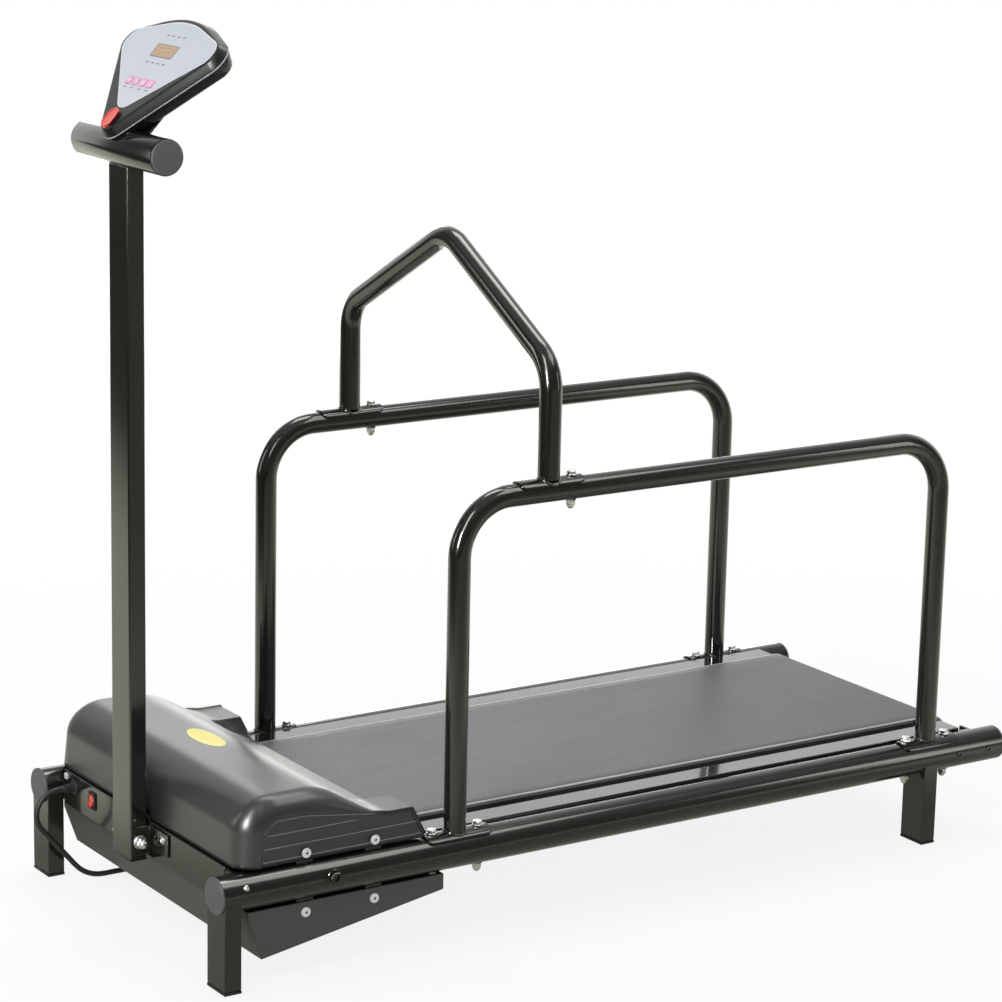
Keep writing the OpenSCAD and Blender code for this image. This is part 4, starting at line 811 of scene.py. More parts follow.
easedNodes = {  # piece, finish, easing of its folds, slot
    "front_legs": ("frontLegTubes", "blackPaint", 2.4, "frame_paint"),
    "rear_legs": ("rearLegTubes", "blackPaint", 2.4, "frame_paint"),
    "post": ("postTube", "blackPaint", 3.0, "frame_paint"),
    "front_panel": ("frontPanelSheet", "blackPaint", 1.2, "frame_paint"),
    "post_bracket": ("postBracketPlate", "blackPaint", 1.0, "frame_paint"),
    "cross_braces": ("crossBraceTubes", "blackPaint", 2.0, "frame_paint"),
    "rear_axle_brackets": ("rearAxleBracketPlates", "blackPaint", 0.8, "frame_paint"),
    "motor_bracket": ("motorBracketPlates", "blackPaint", 0.8, "frame_paint"),
    "cover_tabs": ("coverTabPlates", "blackPaint", 0.6, "frame_paint"),
    "console_mount": ("consoleMountPlate", "blackPaint", 0.8, "frame_paint"),
    "left_ledge": ("leftLedgePlate", "ledgePaint", 1.1, "ledge_paint"),
    "right_ledge": ("rightLedgePlate", "ledgePaint", 1.1, "ledge_paint"),
    "belly_pan": ("bellyPanSheet", "panPlastic", 1.2, "frame_paint"),
    "leg_feet": ("legFootPads", "rubberBlack", 0.9, "black_rubber"),
    "deck_board": ("deckPanel", "deckBoard", 1.0, "board"),
    "motor_controller": ("controllerBlock", "heatSink", 0.6, "controller_metal"),
}
for node, row in easedNodes.items():
    easedNode(node, *row)
print("frame tubes and sheets made")


# bolts, nuts and screws

boltLook = {"pitch": 76, "thread": 8, "below": 6, "washer": (7.84, 1.6), "head": (7.2, 5.2), "nut": 6.4}


def addWasher(bm, at, radius, thick):
    turned(bm, [(radius - 0.3, 0), (radius, 0.3), (radius, thick - 0.4), (radius - 0.4, thick)], at, 36)


def addBolt(bm, seat, axis, b):  # washer and chamfered hexagon head
    at = frameTo(seat, axis)
    (h, tall), thick = b["head"], b["washer"][1]
    top = thick + tall
    addWasher(bm, at, *b["washer"])
    turned(bm, [(h, thick), (h, top - 1.2), (h * 0.86, top - 0.2), (h * 0.80, top)], at, 6)
    turned(bm, [(h * 0.62, top), (h * 0.60, top + 0.35)], at, 24)


def addDomeNut(bm, seat, axis, b):
    at = frameTo(seat, axis)
    h, thick = b["head"][0], b["washer"][1]
    top, dome = thick + b["nut"], b["thread"] / 2 * 1.4
    addWasher(bm, at, *b["washer"])
    turned(bm, [(h, thick), (h, top - 1.0), (h * 0.88, top)], at, 6)
    arc = (0, 0.3, 0.6, 0.9, 1.15, 1.35, 1.5)
    turned(bm, [(dome * math.cos(v), top + dome * math.sin(v)) for v in arc], at, 28)


def saddleBoltPlaces():
    h, pitch = handrailLook, boltLook["pitch"] / 2
    axis = railHeight + h["height"]
    for side in (-1, 1):
        for x in (h["front"], h["front"] + h["span"]):
            for end in (-1, 1):
                yield alongX(x + end * pitch), side * railSide, railHeight, tubeLook["rail"]
        yield alongX(h["front"] + archLook["back"] + pitch), side * railSide, axis, tubeLook["handrail"]


def makeSaddleHardware(b):
    bolts, nuts = bmesh.new(), bmesh.new()
    shank = b["thread"] / 2
    for x, y, z, r in saddleBoltPlaces():
        crest = z + r + saddleLook["gap"] + saddleLook["sheet"]
        addBolt(bolts, (x, y, crest), (0, 0, 1), b)
        turned(bolts, [(shank, z - r - b["below"]), (shank, crest)], Matrix.Translation((x, y, 0)), 20)
        addDomeNut(nuts, (x, y, z - r), (0, 0, -1), b)
    makePiece("saddleBolts", bolts, "zincPlate", stands=("saddle_bolts",))
    makePiece("saddleNuts", nuts, "zincPlate", stands=("saddle_nuts",))


def addPanScrew(bm, seat, axis, head, tall, recess):  # washer face, low dome and cross recess
    profile = [(head, 0), (head, 0.7), (head - 0.3, 1.0), (head * 0.74, 1.1), (head * 0.70, 1.5),
               (head * 0.60, tall - 0.45), (head * 0.46, tall - 0.1), (recess, tall),
               (recess * 0.9, tall - 0.5), (recess * 0.45, tall - 1.5)]
    turned(bm, profile, frameTo(seat, axis), 32, {7: 0.28, 8: 0.34, 9: 0.3})


def addFlatScrew(bm, seat, axis, head, tall, recess):  # flat head with a rounded rim and a cross recess
    at = frameTo(seat, axis)
    turned(bm, [(head, 0), (head, tall - 1.5), (head - 0.3, tall - 0.7), (head - 1.1, tall - 0.2),
                (head - 2.4, tall), (recess, tall), (recess * 0.9, tall - 0.6)], at, 32, {5: 0.28, 6: 0.3})
    turned(bm, [(recess * 0.94, tall - 0.55), (recess * 0.4, tall - 1.0)], at, 32, {0: 0.3, 1: 0.3}, 1)


coverScrewLook = {"along": (133, 242), "rows": ((280.85, 177), (280.6, 92)), "screw": (7, 3, 2.2)}


def makeCoverScrews(c):  # a row on the hood and one on the pan
    bm = bmesh.new()
    for side in (-1, 1):
        for d in c["along"]:
            for out, z in c["rows"]:
                addFlatScrew(bm, (alongX(d), side * out, z), (0, side, 0), *c["screw"])
    makePiece("coverScrews", bm, "screwWhite", stands=("cover_screws",),
              joined=("rubberBlack",))


bracketScrewLook = {"side": 72, "height": 150, "seat": 3.5, "screw": (5.5, 3.5, 2.0)}


def makeBracketScrews(b):
    bm = bmesh.new()
    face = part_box("bracket_screws")[0].x * 1000 + b["seat"]
    for side in (-1, 1):
        addPanScrew(bm, (face, side * b["side"], b["height"]), (-1, 0, 0), *b["screw"])
    makePiece("bracketScrews", bm, "zincPlate", stands=("bracket_screws",))


postBoltLook = {"height": 138, "seat": 31.4, "thread": 10, "washer": (10, 1.6), "head": (8.5, 6), "nut": 8}


def makePostBolt(b):
    bm = bmesh.new()
    middle, reach, shank = Vector((alongX(postAlong), 0, b["height"])), b["seat"], b["thread"] / 2
    addDomeNut(bm, middle - Vector((0, reach, 0)), (0, -1, 0), b)
    addBolt(bm, middle + Vector((0, reach, 0)), (0, 1, 0), b)
    turned(bm, [(shank, -reach), (shank, reach)], frameTo(middle, (0, 1, 0)), 20)
    makePiece("postBolt", bm, "zincPlate", stands=("post_bolt",))


axleBoltLook = {
    "washer": [(11, 0), (11, 1.8), (10.4, 2.5)],
    "head": [(9, 2.5), (9, 8.6), (8.0, 9.5), (5.6, 9.5), (5.2, 9.0), (5.0, 5.5)],
}


def makeFrontAxleBolts(a):  # black hexagon bolts with a hollow middle
    bm = bmesh.new()
    for side in (-1, 1):
        at = frameTo((alongX(rollerAlong), side * railSkin, rollerHeight), (0, side, 0))
        turned(bm, a["washer"], at, 36)
        turned(bm, a["head"], at, 6)
    makePiece("frontAxleBolts", bm, "blackPaint", stands=("front_axle_bolts",))


smallScrewLook = {
    "rear": (5, 3, 1.8), "rearIn": 5, "rail": (4.0, 2.4, 1.4), "railAlong": 34, "railTip": 27.5,
    "panel": (5.2, 3, 2.0), "panelSpot": (236, 156),
}


def makeSmallScrews(s):  # round heads on the rails' ends and the front panel
    bm = bmesh.new()
    low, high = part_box("rear_bracket_screws")
    for side in (-1, 1):
        for x in (low.x * 1000 + s["rearIn"], high.x * 1000 - s["rearIn"]):
            addPanScrew(bm, (x, side * railSkin, railHeight), (0, side, 0), *s["rear"])
    makePiece("rearBracketScrews", bm, "blackPaint", stands=("rear_bracket_screws",))
    bm = bmesh.new()
    tip, r = math.radians(s["railTip"]), tubeLook["rail"]
    seat = Vector((alongX(s["railAlong"]), -railSide - r * math.cos(tip), railHeight + r * math.sin(tip)))
    addPanScrew(bm, seat, (0, -math.cos(tip), math.sin(tip)), *s["rail"])
    makePiece("railScrew", bm, "zincPlate")
    bm = bmesh.new()
    addFlatScrew(bm, (alongX(panelAlong), *s["panelSpot"]), (-1, 0, 0), *s["panel"])
    makePiece("panelScrew", bm, "screwWhite", joined=("rubberBlack",))


makeSaddleHardware(boltLook)
makeCoverScrews(coverScrewLook)
makeBracketScrews(bracketScrewLook)
makePostBolt(postBoltLook)
makeFrontAxleBolts(axleBoltLook)
makeSmallScrews(smallScrewLook)
print("hardware made")


# running belt

beltShape = {"rear": 1314, "outer": 28.5, "sheet": 2.2, "half": 200, "ease": 0.7, "arc": 32, "across": 20}


def makeBelt(b):
    bm = bmesh.new()
    loop = []
    for end, sign in ((b["rear"], 1), (rollerAlong, -1)):
        for k in range(b["arc"] + 1):
            a = math.pi * k / b["arc"]
            loop.append((alongX(end), sign * math.sin(a), sign * math.cos(a)))
    half, sheet, ease = b["half"], b["sheet"], b["ease"]
    section = [(-half, -sheet), (-half, -ease), (-half + ease, 0)]
    section += [(-half + 2 * half * k / b["across"], 0) for k in range(1, b["across"])]
    section += [(half - ease, 0), (half, -ease), (half, -sheet)]
    outline = [(y, b["outer"] + lift) for y, lift in section]
    skin(bm, [[(x + r * c, y, rollerHeight + r * s) for y, r in outline] for x, c, s in loop], closed=True)
    makePiece("runningBelt", bm, "beltRubber", stands=("running_belt",), sharp=50)


makeBelt(beltShape)
print("belt made")


# motor hood: a height over the ground plan, s from its front edge and y across

hoodLook = {
    "front": 31, "length": 294, "base": 166, "half": 281, "draft": 3, "wall": 3, "crest": 94, "line": 44,
    "corner": 36, "frontRound": 64, "sideRound": 30, "lip": 10, "lipIn": 7, "crestEnd": 137, "crestSoft": 30,
    "ear": 45, "earIn": 212, "earWall": 6, "earSoft": 9, "earSlant": 21, "earFoot": 4,
    "panel": 64, "panelRise": (30, 62), "panelFall": 105,
    "rows": 26, "panelFrom": (33, 40), "panelStep": 2.4, "groove": 0.4, "grooves": (42.5, 24.5, 6.5),
}
hoodSlope = ((hoodLook["crest"] - hoodLook["lip"])
             / (hoodLook["length"] - hoodLook["lipIn"] - hoodLook["crestEnd"]))


def soft(x, width):  # 0 below, x above, with a round turn between
    return 0 if x < -width else x if x > width else (x + width) ** 2 / (4 * width)


def roundDrop(t):
    return 1 - math.sqrt(1 - min(1, t * t))


def slopeAt(height):
    return hoodLook["crestEnd"] + (hoodLook["crest"] - height) / hoodSlope


def hoodFrontEdge(y, half):
    over = max(0, abs(y) - half + hoodLook["corner"])
    return hoodLook["corner"] - math.sqrt(max(0, hoodLook["corner"] ** 2 - over * over))


def earShare(y):
    return clamped((abs(y) - hoodLook["earIn"] + hoodLook["earWall"]) / hoodLook["earWall"])


def hoodRearEdge(y):
    return hoodLook["length"] - hoodLook["lipIn"] * (1 - earShare(y))


def panelTop(s):
    h = hoodLook
    rise = mix(h["line"], h["panel"], smooth(between(h["panelRise"], s)))
    fall = clamped(between((h["panelFall"], slopeAt(h["ear"] - h["earSoft"])), s))
    return rise - (h["panel"] - h["ear"]) * fall


def panelShare(s):
    return smooth(between(hoodLook["panelFrom"], s))


def edgeRoll(s, y, half):  # 0 on the flat of the hood, 1 at its edge
    h, r = hoodLook, hoodLook["corner"]
    fromFront, fromSide = s - h["draft"], half - abs(y)
    front, side = clamped(1 - fromFront / h["frontRound"]), clamped(1 - fromSide / h["sideRound"])
    a, b = max(0, r - fromFront), max(0, r - fromSide)
    reach = math.hypot(a, b)
    if fromFront > r or reach == 0:
        limit = math.hypot(1, front) if side > 0 else 1
        limit = mix(1, limit, clamped(side / 0.5))
    else:
        edgeFront = 1 - (r - r * a / reach) / h["frontRound"]
        edgeSide = clamped(1 - (r - r * b / reach) / h["sideRound"])
        limit = mix(1, math.hypot(edgeFront, edgeSide), clamped(reach / r))
    return min(1, math.hypot(front, side) / limit)


def hoodHeight(s, y):
    h = hoodLook
    slope = h["crest"] - hoodSlope * soft(s - h["crestEnd"], h["crestSoft"])
    ear = min(h["ear"] + soft(slope - h["ear"], h["earSoft"]),
              mix(h["earFoot"], h["ear"], max(0, h["length"] - s) / h["earSlant"]))
    shape = mix(slope, ear, earShare(y))
    edge = min(panelTop(s), shape)
    return shape - (shape - edge) * roundDrop(edgeRoll(s, y, h["half"] - h["draft"]))


def hoodColumns(h):
    half = h["half"] - h["draft"]
    inside, outside = h["earIn"] - h["earWall"], half - h["sideRound"]
    out = [inside * k / 20 for k in range(20)] + [inside - 1.2, inside, inside + 1.0]
    out += [h["earIn"] - 1.0, h["earIn"], h["earIn"] + 1.2]
    out += [mix(h["earIn"] + 1.2, outside, k / 5) for k in range(1, 5)]
    out += [half - h["sideRound"] * (1 - math.sin(turn / 4 * k / 14)) for k in range(15)]
    return [-y for y in reversed(out[1:])] + out


def hoodRows(h, y):
    start = hoodFrontEdge(y, h["half"] - h["draft"]) + h["draft"]
    roll, slant = h["draft"] + h["frontRound"], h["length"] - h["earSlant"]
    rows = [mix(roll, start, math.cos(turn / 4 * k / h["rows"])) for k in range(h["rows"] + 1)]
    rows += [mix(roll, slant - 1.2, k / 40) for k in range(1, 41)]
    return rows + [slant, slant + 1.2] + [mix(slant + 1.2, hoodRearEdge(y), k / 4) for k in range(1, 5)]


def sideLevels(h):  # rows down the side: drop from the top or minus a height, panel step, groove, and 1 for a pale painted highlight line
    # the strip under the panel's top edge and the grooves' floors get the painted highlight colour
    rows = [(0.5, 0.25, 0, 0), (1.1, 0.8, 0, 0), (1.7, 1, 0, 0), (3.1, 1, 0, 1)]
    lines = ((0.9, 0, 0), (0.65, 1, 0), (-0.65, 1, 1), (-0.9, 0, 0))
    rows += [(-g - d, 1, deep, line) for g in h["grooves"] for d, deep, line in lines]
    return rows + [(0, 1, 0, 0)]


def levelHeight(drop, tall):  # rows close up, in order, where the side is low
    if drop > 0:
        return tall - min(drop, 0.2 * tall)
    return min(-drop, (0.8 - 0.01 * drop / 60) * tall)


def makeHood(h):
    bm = bmesh.new()
    front, half = alongX(h["front"]), h["half"] - h["draft"]
    across = hoodColumns(h)
    along = [hoodRows(h, y) for y in across]
    rows, columns = len(along[0]) - 1, len(across) - 1
    grid = [[bm.verts.new((front + along[j][i], y, h["base"] + hoodHeight(along[j][i], y)))
             for j, y in enumerate(across)] for i in range(rows + 1)]
    for low, high in zip(grid, grid[1:]):
        for j in range(columns):
            bm.faces.new((low[j], low[j + 1], high[j + 1], high[j]))
    edge = [(i, 0) for i in range(rows, -1, -1)] + [(0, j) for j in range(1, columns + 1)]
    edge += [(i, columns) for i in range(1, rows + 1)]
    last = [grid[i][j] for i, j in edge]
    for drop, step, groove, line in sideLevels(h):
        ring = []
        for i, j in edge:
            top, s = grid[i][j].co, along[j][i]
            tall = top.z - h["base"]
            up = levelHeight(drop, tall)
            share = up / tall
            wide = mix(h["half"], half, share)
            y = across[j] * wide / half
            x = top.x if i else front + hoodFrontEdge(y, wide) + h["draft"] * share
            if j in (0, columns):
                inward = (h["panelStep"] * step + h["groove"] * groove) * panelShare(s)
                y -= math.copysign(inward, y)
            ring.append(bm.verts.new((x, y, h["base"] + up)))
        for k, (i, j) in enumerate(edge[:-1]):
            face = bm.faces.new((last[k], last[k + 1], ring[k + 1], ring[k]))
            onPanel = j in (0, columns) and edge[k + 1][1] == j and along[j][i] > h["panelFrom"][1] - 2
            # side panel faces in slot 1 carry the painted highlight colour
            face.material_index = line if onPanel else 0
        last = ring
    bmesh.ops.remove_doubles(bm, verts=bm.verts, dist=0.005)
    piece = makePiece("motorHood", bm, "hoodPlastic", stands=("hood",), sharp=30,
                      joined=("panelLine",))
    wall = piece.modifiers.new("wall", "SOLIDIFY")
    wall.thickness, wall.offset = h["wall"] / 1000, -1


ovalLook = {
    "along": 106, "across": 11, "long": 47, "wide": 19, "lift": 0.25, "rimLift": 0.02,
    "sides": 48, "rings": 5,
}


def makeOval(t):  # a plain yellow oval laid on the hood
    bm = bmesh.new()
    rings = []
    for k in range(t["rings"] + 1):
        share = 1 - 0.96 * k / t["rings"]
        lift = t["lift"] if k else t["rimLift"]
        ring = []
        for i in range(t["sides"]):
            a = turn * i / t["sides"]
            s = t["along"] + t["wide"] * share * math.cos(a)
            y = t["across"] + t["long"] * share * math.sin(a)
            ring.append((alongX(hoodLook["front"]) + s, y, hoodLook["base"] + hoodHeight(s, y) + lift))
        rings.append(ring)
    grid = skin(bm, rings, capped=False)
    bm.faces.new(grid[-1])
    makePiece("hoodOval", bm, "ovalYellow")


makeHood(hoodLook)
makeOval(ovalLook)
print("hood made")


# console, built in the frame of its tilted face: X up the face, Y across, Z out of it

consoleLook = {  # discs are (up, across, radius), crowns (top, radius), profiles (out, grow)
    "tilt": 47, "height": 1110, "display": 132, "face": 43,
    "discs": [(-112, 0, 30), (8, 106, 28), (8, -106, 28)], "crown": (62, 215),
    "film": [(-73, 0, 25), (8, 100, 22), (8, -100, 22)], "filmCrown": (50, 195), "crownSpan": 24,
    "back": [(8, -16), (8.2, -13.5), (9.4, -11), (11.5, -9.6), (28.6, -1.4), (29.4, -1.4)],
    # the seam lip under the bezel, made pale as a painted highlight
    "seamHighlight": [(29.2, -2.2), (29.2, -0.5), (29.5, 0.0), (30.6, 0.1), (31.0, -0.3), (31.0, -2.2)],
    "bezel": [(30.8, -1.6), (30.9, -0.7), (31.3, -0.3), (31.9, -0.5), (41.7, -6.0), (42.4, -6.6),
              (42.85, -7.4), (43, -8.4), (43, -12)],
    "border": 1.5, "steps": 180,
}
consoleFrame = (Matrix.Translation(Vector((alongX(postAlong), 0, consoleLook["height"])) / 1000)
                @ Matrix.Rotation(-math.radians(consoleLook["tilt"]), 4, "Y"))


def crownDots(crown):  # the crowned top edge as points on an arc
    top, r = crown
    angles = [math.radians(a) for a in range(-consoleLook["crownSpan"], consoleLook["crownSpan"] + 1, 2)]
    return [(top - r * (1 - math.cos(a)), r * math.sin(a), 0) for a in angles]


def discOutline(discs, grow):  # round the outside of a set of discs
    outline, steps = [], consoleLook["steps"]
    for k in range(steps):
        n = Vector((math.cos(turn * k / steps), math.sin(turn * k / steps)))
        c = max(discs, key=lambda d: d[0] * n.x + d[1] * n.y + d[2])
        outline.append((consoleLook["display"] + c[0] + (c[2] + grow) * n.x, c[1] + (c[2] + grow) * n.y))
    return outline


def discRings(discs, levels):
    return [[(x, y, w) for x, y in discOutline(discs, grow)] for w, grow in levels]


def makeConsole(c):
    case, film = c["discs"] + crownDots(c["crown"]), c["film"] + crownDots(c["filmCrown"])
    for name, profile, look, stands in (
            ("consoleBack", "back", "shellGloss", ("console_back",)),
            # the seam lip, pale as a painted highlight
            ("consoleSeamHighlight", "seamHighlight", "trimGrey", ()),
            ("consoleBezel", "bezel", "casePlastic", ("console_bezel",))):
        bm = bmesh.new()
        skin(bm, discRings(case, c[profile]))
        makePiece(name, bm, look, stands=stands, at=consoleFrame)
    bm = bmesh.new()
    rim = -c["border"]
    skin(bm, discRings(film, [(43.08, rim), (43.1, rim - 0.3)]))
    skin(bm, discRings(film, [(42.6, 0.3), (43.0, 0.3), (43.08, 0), (43.08, rim)]), capped=False, index=1)
    makePiece("consoleFilm", bm, "consoleFilm", stands=("console_overlay",),
              at=consoleFrame, joined=("markWhite",))


displayLook = {
    "width": 58, "tall": 19, "digit": (6.5, 10.5), "bar": 1.3, "gap": 0.7, "pitch": 9.6,
    "frame": [(0.05, 1.6), (0.4, 1.3), (0.4, 0.2), (0.25, 0.1), (0.25, -0.5)],
    "marks": ((26, 7.0), (-21, 8.0)), "markPitch": 15, "markTall": 1.8,
    "dashes": (66, 67.4), "dash": 9, "dashPitch": 20, "print": 0.22,
}


def makeDisplay(d):
    v, w = consoleLook["display"], consoleLook["face"]
    bm = bmesh.new()
    rings = [[(v + a, b, w + z) for b, a in softSquare(d["width"] / 2 + g, d["tall"] / 2 + g, 2, 4)]
             for z, g in d["frame"]]
    skin(bm, rings[:3], capped=False, index=1)
    skin(bm, rings[2:])
    makePiece("displayWindow", bm, "displayGlass", stands=("display_window",),
              at=consoleFrame, joined=("printGrey",))
    bm = bmesh.new()  # four noughts, each of six bars
    wide, tall, thin = d["digit"][0] / 2, d["digit"][1] / 2, d["bar"] / 2
    bars = ((tall, 0), (tall / 2, -1), (-tall / 2, -1), (-tall, 0), (-tall / 2, 1), (tall / 2, 1))
    for k in range(4):
        u = (1.5 - k) * d["pitch"]
        for up, across in bars:
            a, b = (tall / 2 - d["gap"], thin) if across else (thin, wide - d["gap"])
            low = Vector((v + up - a, u + across * wide - b, w + 0.15))
            high = Vector((v + up + a, u + across * wide + b, w + 0.4))
            roundBox(bm, low, high, 0.08)
    makePiece("displayDigits", bm, "displayLit", at=consoleFrame)
    bm = bmesh.new()  # plain marks above and below the display, and dashes under the keys
    tall, top = d["markTall"] / 2, w + d["print"]
    for k in range(4):
        u = (1.5 - k) * d["markPitch"]
        for up, long in d["marks"]:
            roundBox(bm, (v + up - tall, u - long / 2, w), (v + up + tall, u + long / 2, top), 0.06)
    for k in range(4):
        u = (1.5 - k) * d["dashPitch"]
        roundBox(bm, (d["dashes"][0], u - d["dash"] / 2, w), (d["dashes"][1], u + d["dash"] / 2, top), 0.06)
    makePiece("filmMarks", bm, "printGrey", at=consoleFrame)


keyLook = {
    "tall": 13, "wide": 15, "corner": 2.4, "pitch": 20, "centre": 78, "depth": 3, "rise": 1.2,
    "mark": (2.4, 0.6),
}


def makeKeys(k):
    w, centre, (long, thin) = consoleLook["face"], k["centre"], k["mark"]
    top = w + k["rise"]
    for n in range(4):
        u = (n - 1.5) * k["pitch"]
        bm = bmesh.new()
        rings = []
        for z, g in ((w - k["depth"], 0), (top - 0.26, 0), (top - 0.1, 0.12), (top, 0.5), (top, 1.7),
                     (top - 0.1, 2.2)):
            outline = softSquare(k["tall"] / 2 - g, k["wide"] / 2 - g, k["corner"] - g, 5)
            rings.append([(centre + a, u + b, z) for a, b in outline])
        skin(bm, rings[:5], capped=False)
        skin(bm, rings[4:], index=2)
        marks = [(long, thin, top + 0.12)] + [(thin, long, top + 0.10)] * (n % 2)  # a bar, or a cross
        for a, b, z in marks:
            roundBox(bm, (centre - a, u - b, w + 1.0), (centre + a, u + b, z), 0.1, index=1)
        name = "key_%d" % (n + 1)
        makePiece("keyCap%d" % (n + 1), bm, "keyPink", name, (name,), at=consoleFrame,
                  joined=("keyWhite", "keyPale"))


stopLook = {
    "half": 8, "radius": 8.5, "centre": 14, "depth": 8, "rise": 4, "capHalf": 3, "cap": 13.2, "steps": 64,
    "dish": [(0.8, 2.0), (0.75, 0.3), (0.5, 0), (0.2, 0.15), (0, 0.7), (0.05, 1.6), (0.25, 2.4), (0.5, 4.2),
             (0.6, 7.0), (0.62, 11)],
}


def stadium(half, radius, centre, steps):  # a circle drawn apart along X
    outline = []
    for k in range(steps):
        a = turn * k / steps
        end = half if math.cos(a) > 0 else -half
        outline.append((centre + end + radius * math.cos(a), radius * math.sin(a)))
    return outline


def makeStop(b):
    bm = bmesh.new()
    face = consoleLook["face"]
    top = face + b["rise"]
    stem = stadium(b["half"], b["radius"], b["centre"], b["steps"])
    skin(bm, [[(x, y, z) for x, y in stem] for z in (face - b["depth"], top - 0.6)])
    skin(bm, [[(x, y, top - down) for x, y in stadium(b["capHalf"], b["cap"] - g, b["centre"], b["steps"])]
              for down, g in b["dish"]])
    makePiece("stopButton", bm, "stopRed", "stop_button", ("stop_button",), at=consoleFrame)


barLook = {"radius": 25, "half": 116, "rim": [(1.8, 1.5), (0.8, 0), (0.2, 0.15), (0, 0.7)], "sides": 72}


def makeBar(b):
    bm = bmesh.new()
    axis = frameTo((alongX(postAlong), 0, consoleLook["height"]), (0, 1, 0))
    profile = [(b["radius"] - inward, -b["half"] + back) for inward, back in b["rim"]]
    turned(bm, profile + [(r, -z) for r, z in reversed(profile)], axis, b["sides"])
    makePiece("consoleBarTube", bm, "blackPaint", stands=("console_bar",), sharp=50)


capLook = {
    "bar": [(22.6, -6), (22.6, 0.2), (23.8, 0.2), (23.8, 2.2), (23.3, 3.2), (22.2, 3.8), (20.8, 4.0),
            (3, 3.9)],
    "rail": [(23.6, -8), (23.6, 0.1), (26, 0.1), (26, 2.2), (25.5, 3.2), (24.5, 3.8), (23, 4.0),
             (3, 3.9)],
    "stand": 4, "sides": 64,
}


def makeCaps(c):
    bm = bmesh.new()
    for side in (-1, 1):
        at = frameTo((alongX(postAlong), side * barLook["half"], consoleLook["height"]), (0, side, 0))
        turned(bm, c["bar"], at, c["sides"])
    makePiece("barCaps", bm, "capPlastic", stands=("bar_caps",))
    bm = bmesh.new()
    low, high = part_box("rail_end_caps")
    for x, way in ((low.x * 1000 + c["stand"], -1), (high.x * 1000 - c["stand"], 1)):
        for side in (-1, 1):
            turned(bm, c["rail"], frameTo((x, side * railSide, railHeight), (way, 0, 0)), c["sides"])
    makePiece("railEndCaps", bm, "capPlastic", stands=("rail_end_caps",))


makeConsole(consoleLook)
makeDisplay(displayLook)
makeKeys(keyLook)
makeStop(stopLook)
makeBar(barLook)
makeCaps(capLook)
print("console made")


# mains switch and cord gland on the front panel

switchLook = {
    "across": 152, "height": 142, "frame": (20.5, 26.5), "inner": (13.4, 19.4), "depth": 20,
    "rim": [(0, 0), (-1.7, 0), (-2.3, 0.35), (-2.5, 0.9), (-2.5, 2.6), (-2.0, 3.0)],
    "pin": 4, "pinRadius": 1.5, "pinHalf": 7.7, "tilt": 8, "hollow": 3, "mark": 5.6, "ring": 1.5,
}


def makeSwitch(s):
    at = Matrix.Translation((alongX(panelAlong), s["across"], s["height"]))
    bm = bmesh.new()
    (frameA, frameB), (innerA, innerB) = s["frame"], s["inner"]
    levels = [(x, softSquare(frameA / 2 - g, frameB / 2 - g, 2.5 - 0.5 * g, 5)) for x, g in s["rim"]]
    levels += [(x, softSquare(innerA / 2, innerB / 2, 0.9, 5)) for x in (0, s["depth"])]
    skin(bm, [[at @ Vector((x, a, b)) for a, b in outline] for x, outline in levels])
    makePiece("switchHousing", bm, "casePlastic", stands=("switch_housing",))
    bm = bmesh.new()
    hinge = at @ Matrix.Translation((s["pin"], 0, 0)) @ Matrix.Rotation(math.radians(s["tilt"]), 4, "Y")
    wide, tall, face = innerA / 2 - 0.3, innerB / 2 - 0.3, -s["pin"] - 2.5
    profile = [(face - s["hollow"] * (k / 10) ** 2 * (1 if abs(k) < 10 else 0.94), tall * k / 10)
               for k in range(10, -11, -1)]
    profile += [(0, 7 - tall), (3, 0), (0, tall - 7)]
    skin(bm, [[hinge @ Vector((x, y, z)) for x, z in profile] for y in (-wide, wide)])
    pin = [(s["pinRadius"], -s["pinHalf"]), (s["pinRadius"], s["pinHalf"])]
    turned(bm, pin, hinge @ Matrix.Rotation(-turn / 4, 4, "X"), 20)
    for up in (-s["mark"], s["mark"]):  # a bar and a ring, as on any mains switch
        x = face - s["hollow"] * (up / tall) ** 2 - 0.1
        spot = hinge @ Matrix.Translation((x, 0, up)) @ Matrix.Rotation(-turn / 4, 4, "Y")
        if up > 0:
            roundBox(bm, (-1.5, -0.35, -0.3), (1.5, 0.35, 0.12), 0.08, spot, 1)
        else:
            loop = [spot @ Vector((a, b, 0)) for a, b in circle(s["ring"], 24)]
            sweep(bm, loop, circle(0.3, 8), closed=True, index=1)
    makePiece("powerRocker", bm, "rockerRed", "power_rocker", ("power_rocker",), joined=("markWhite",))


glandLook = {
    "collar": [(8, -8), (8, 0), (11, 0), (11, 2.2), (10.2, 3.0), (7.2, 3.2)], "tip": [(4.8, 19.4), (4.3, 20)],
    "ribs": 5, "rib": 6.9, "taper": 0.42, "start": 4, "pitch": 3.1,
}


def makeGland(g):  # a ribbed cone that tapers to the cord
    bm = bmesh.new()
    profile = list(g["collar"])
    for k in range(g["ribs"]):
        r, z = g["rib"] - g["taper"] * k, g["start"] + g["pitch"] * k
        profile += [(r, z), (r, z + 1.9), (r - 0.7, z + 2.2), (r - 0.7, z + 2.9)]
    turned(bm, profile + g["tip"], frameTo((alongX(panelAlong), *cordLook["exit"][1:]), (-1, 0, 0)))
    makePiece("cordGland", bm, "rubberBlack", stands=("cord_gland",))


makeSwitch(switchLook)
makeGland(glandLook)
print("switch made")


# floor, backdrop light and lamps

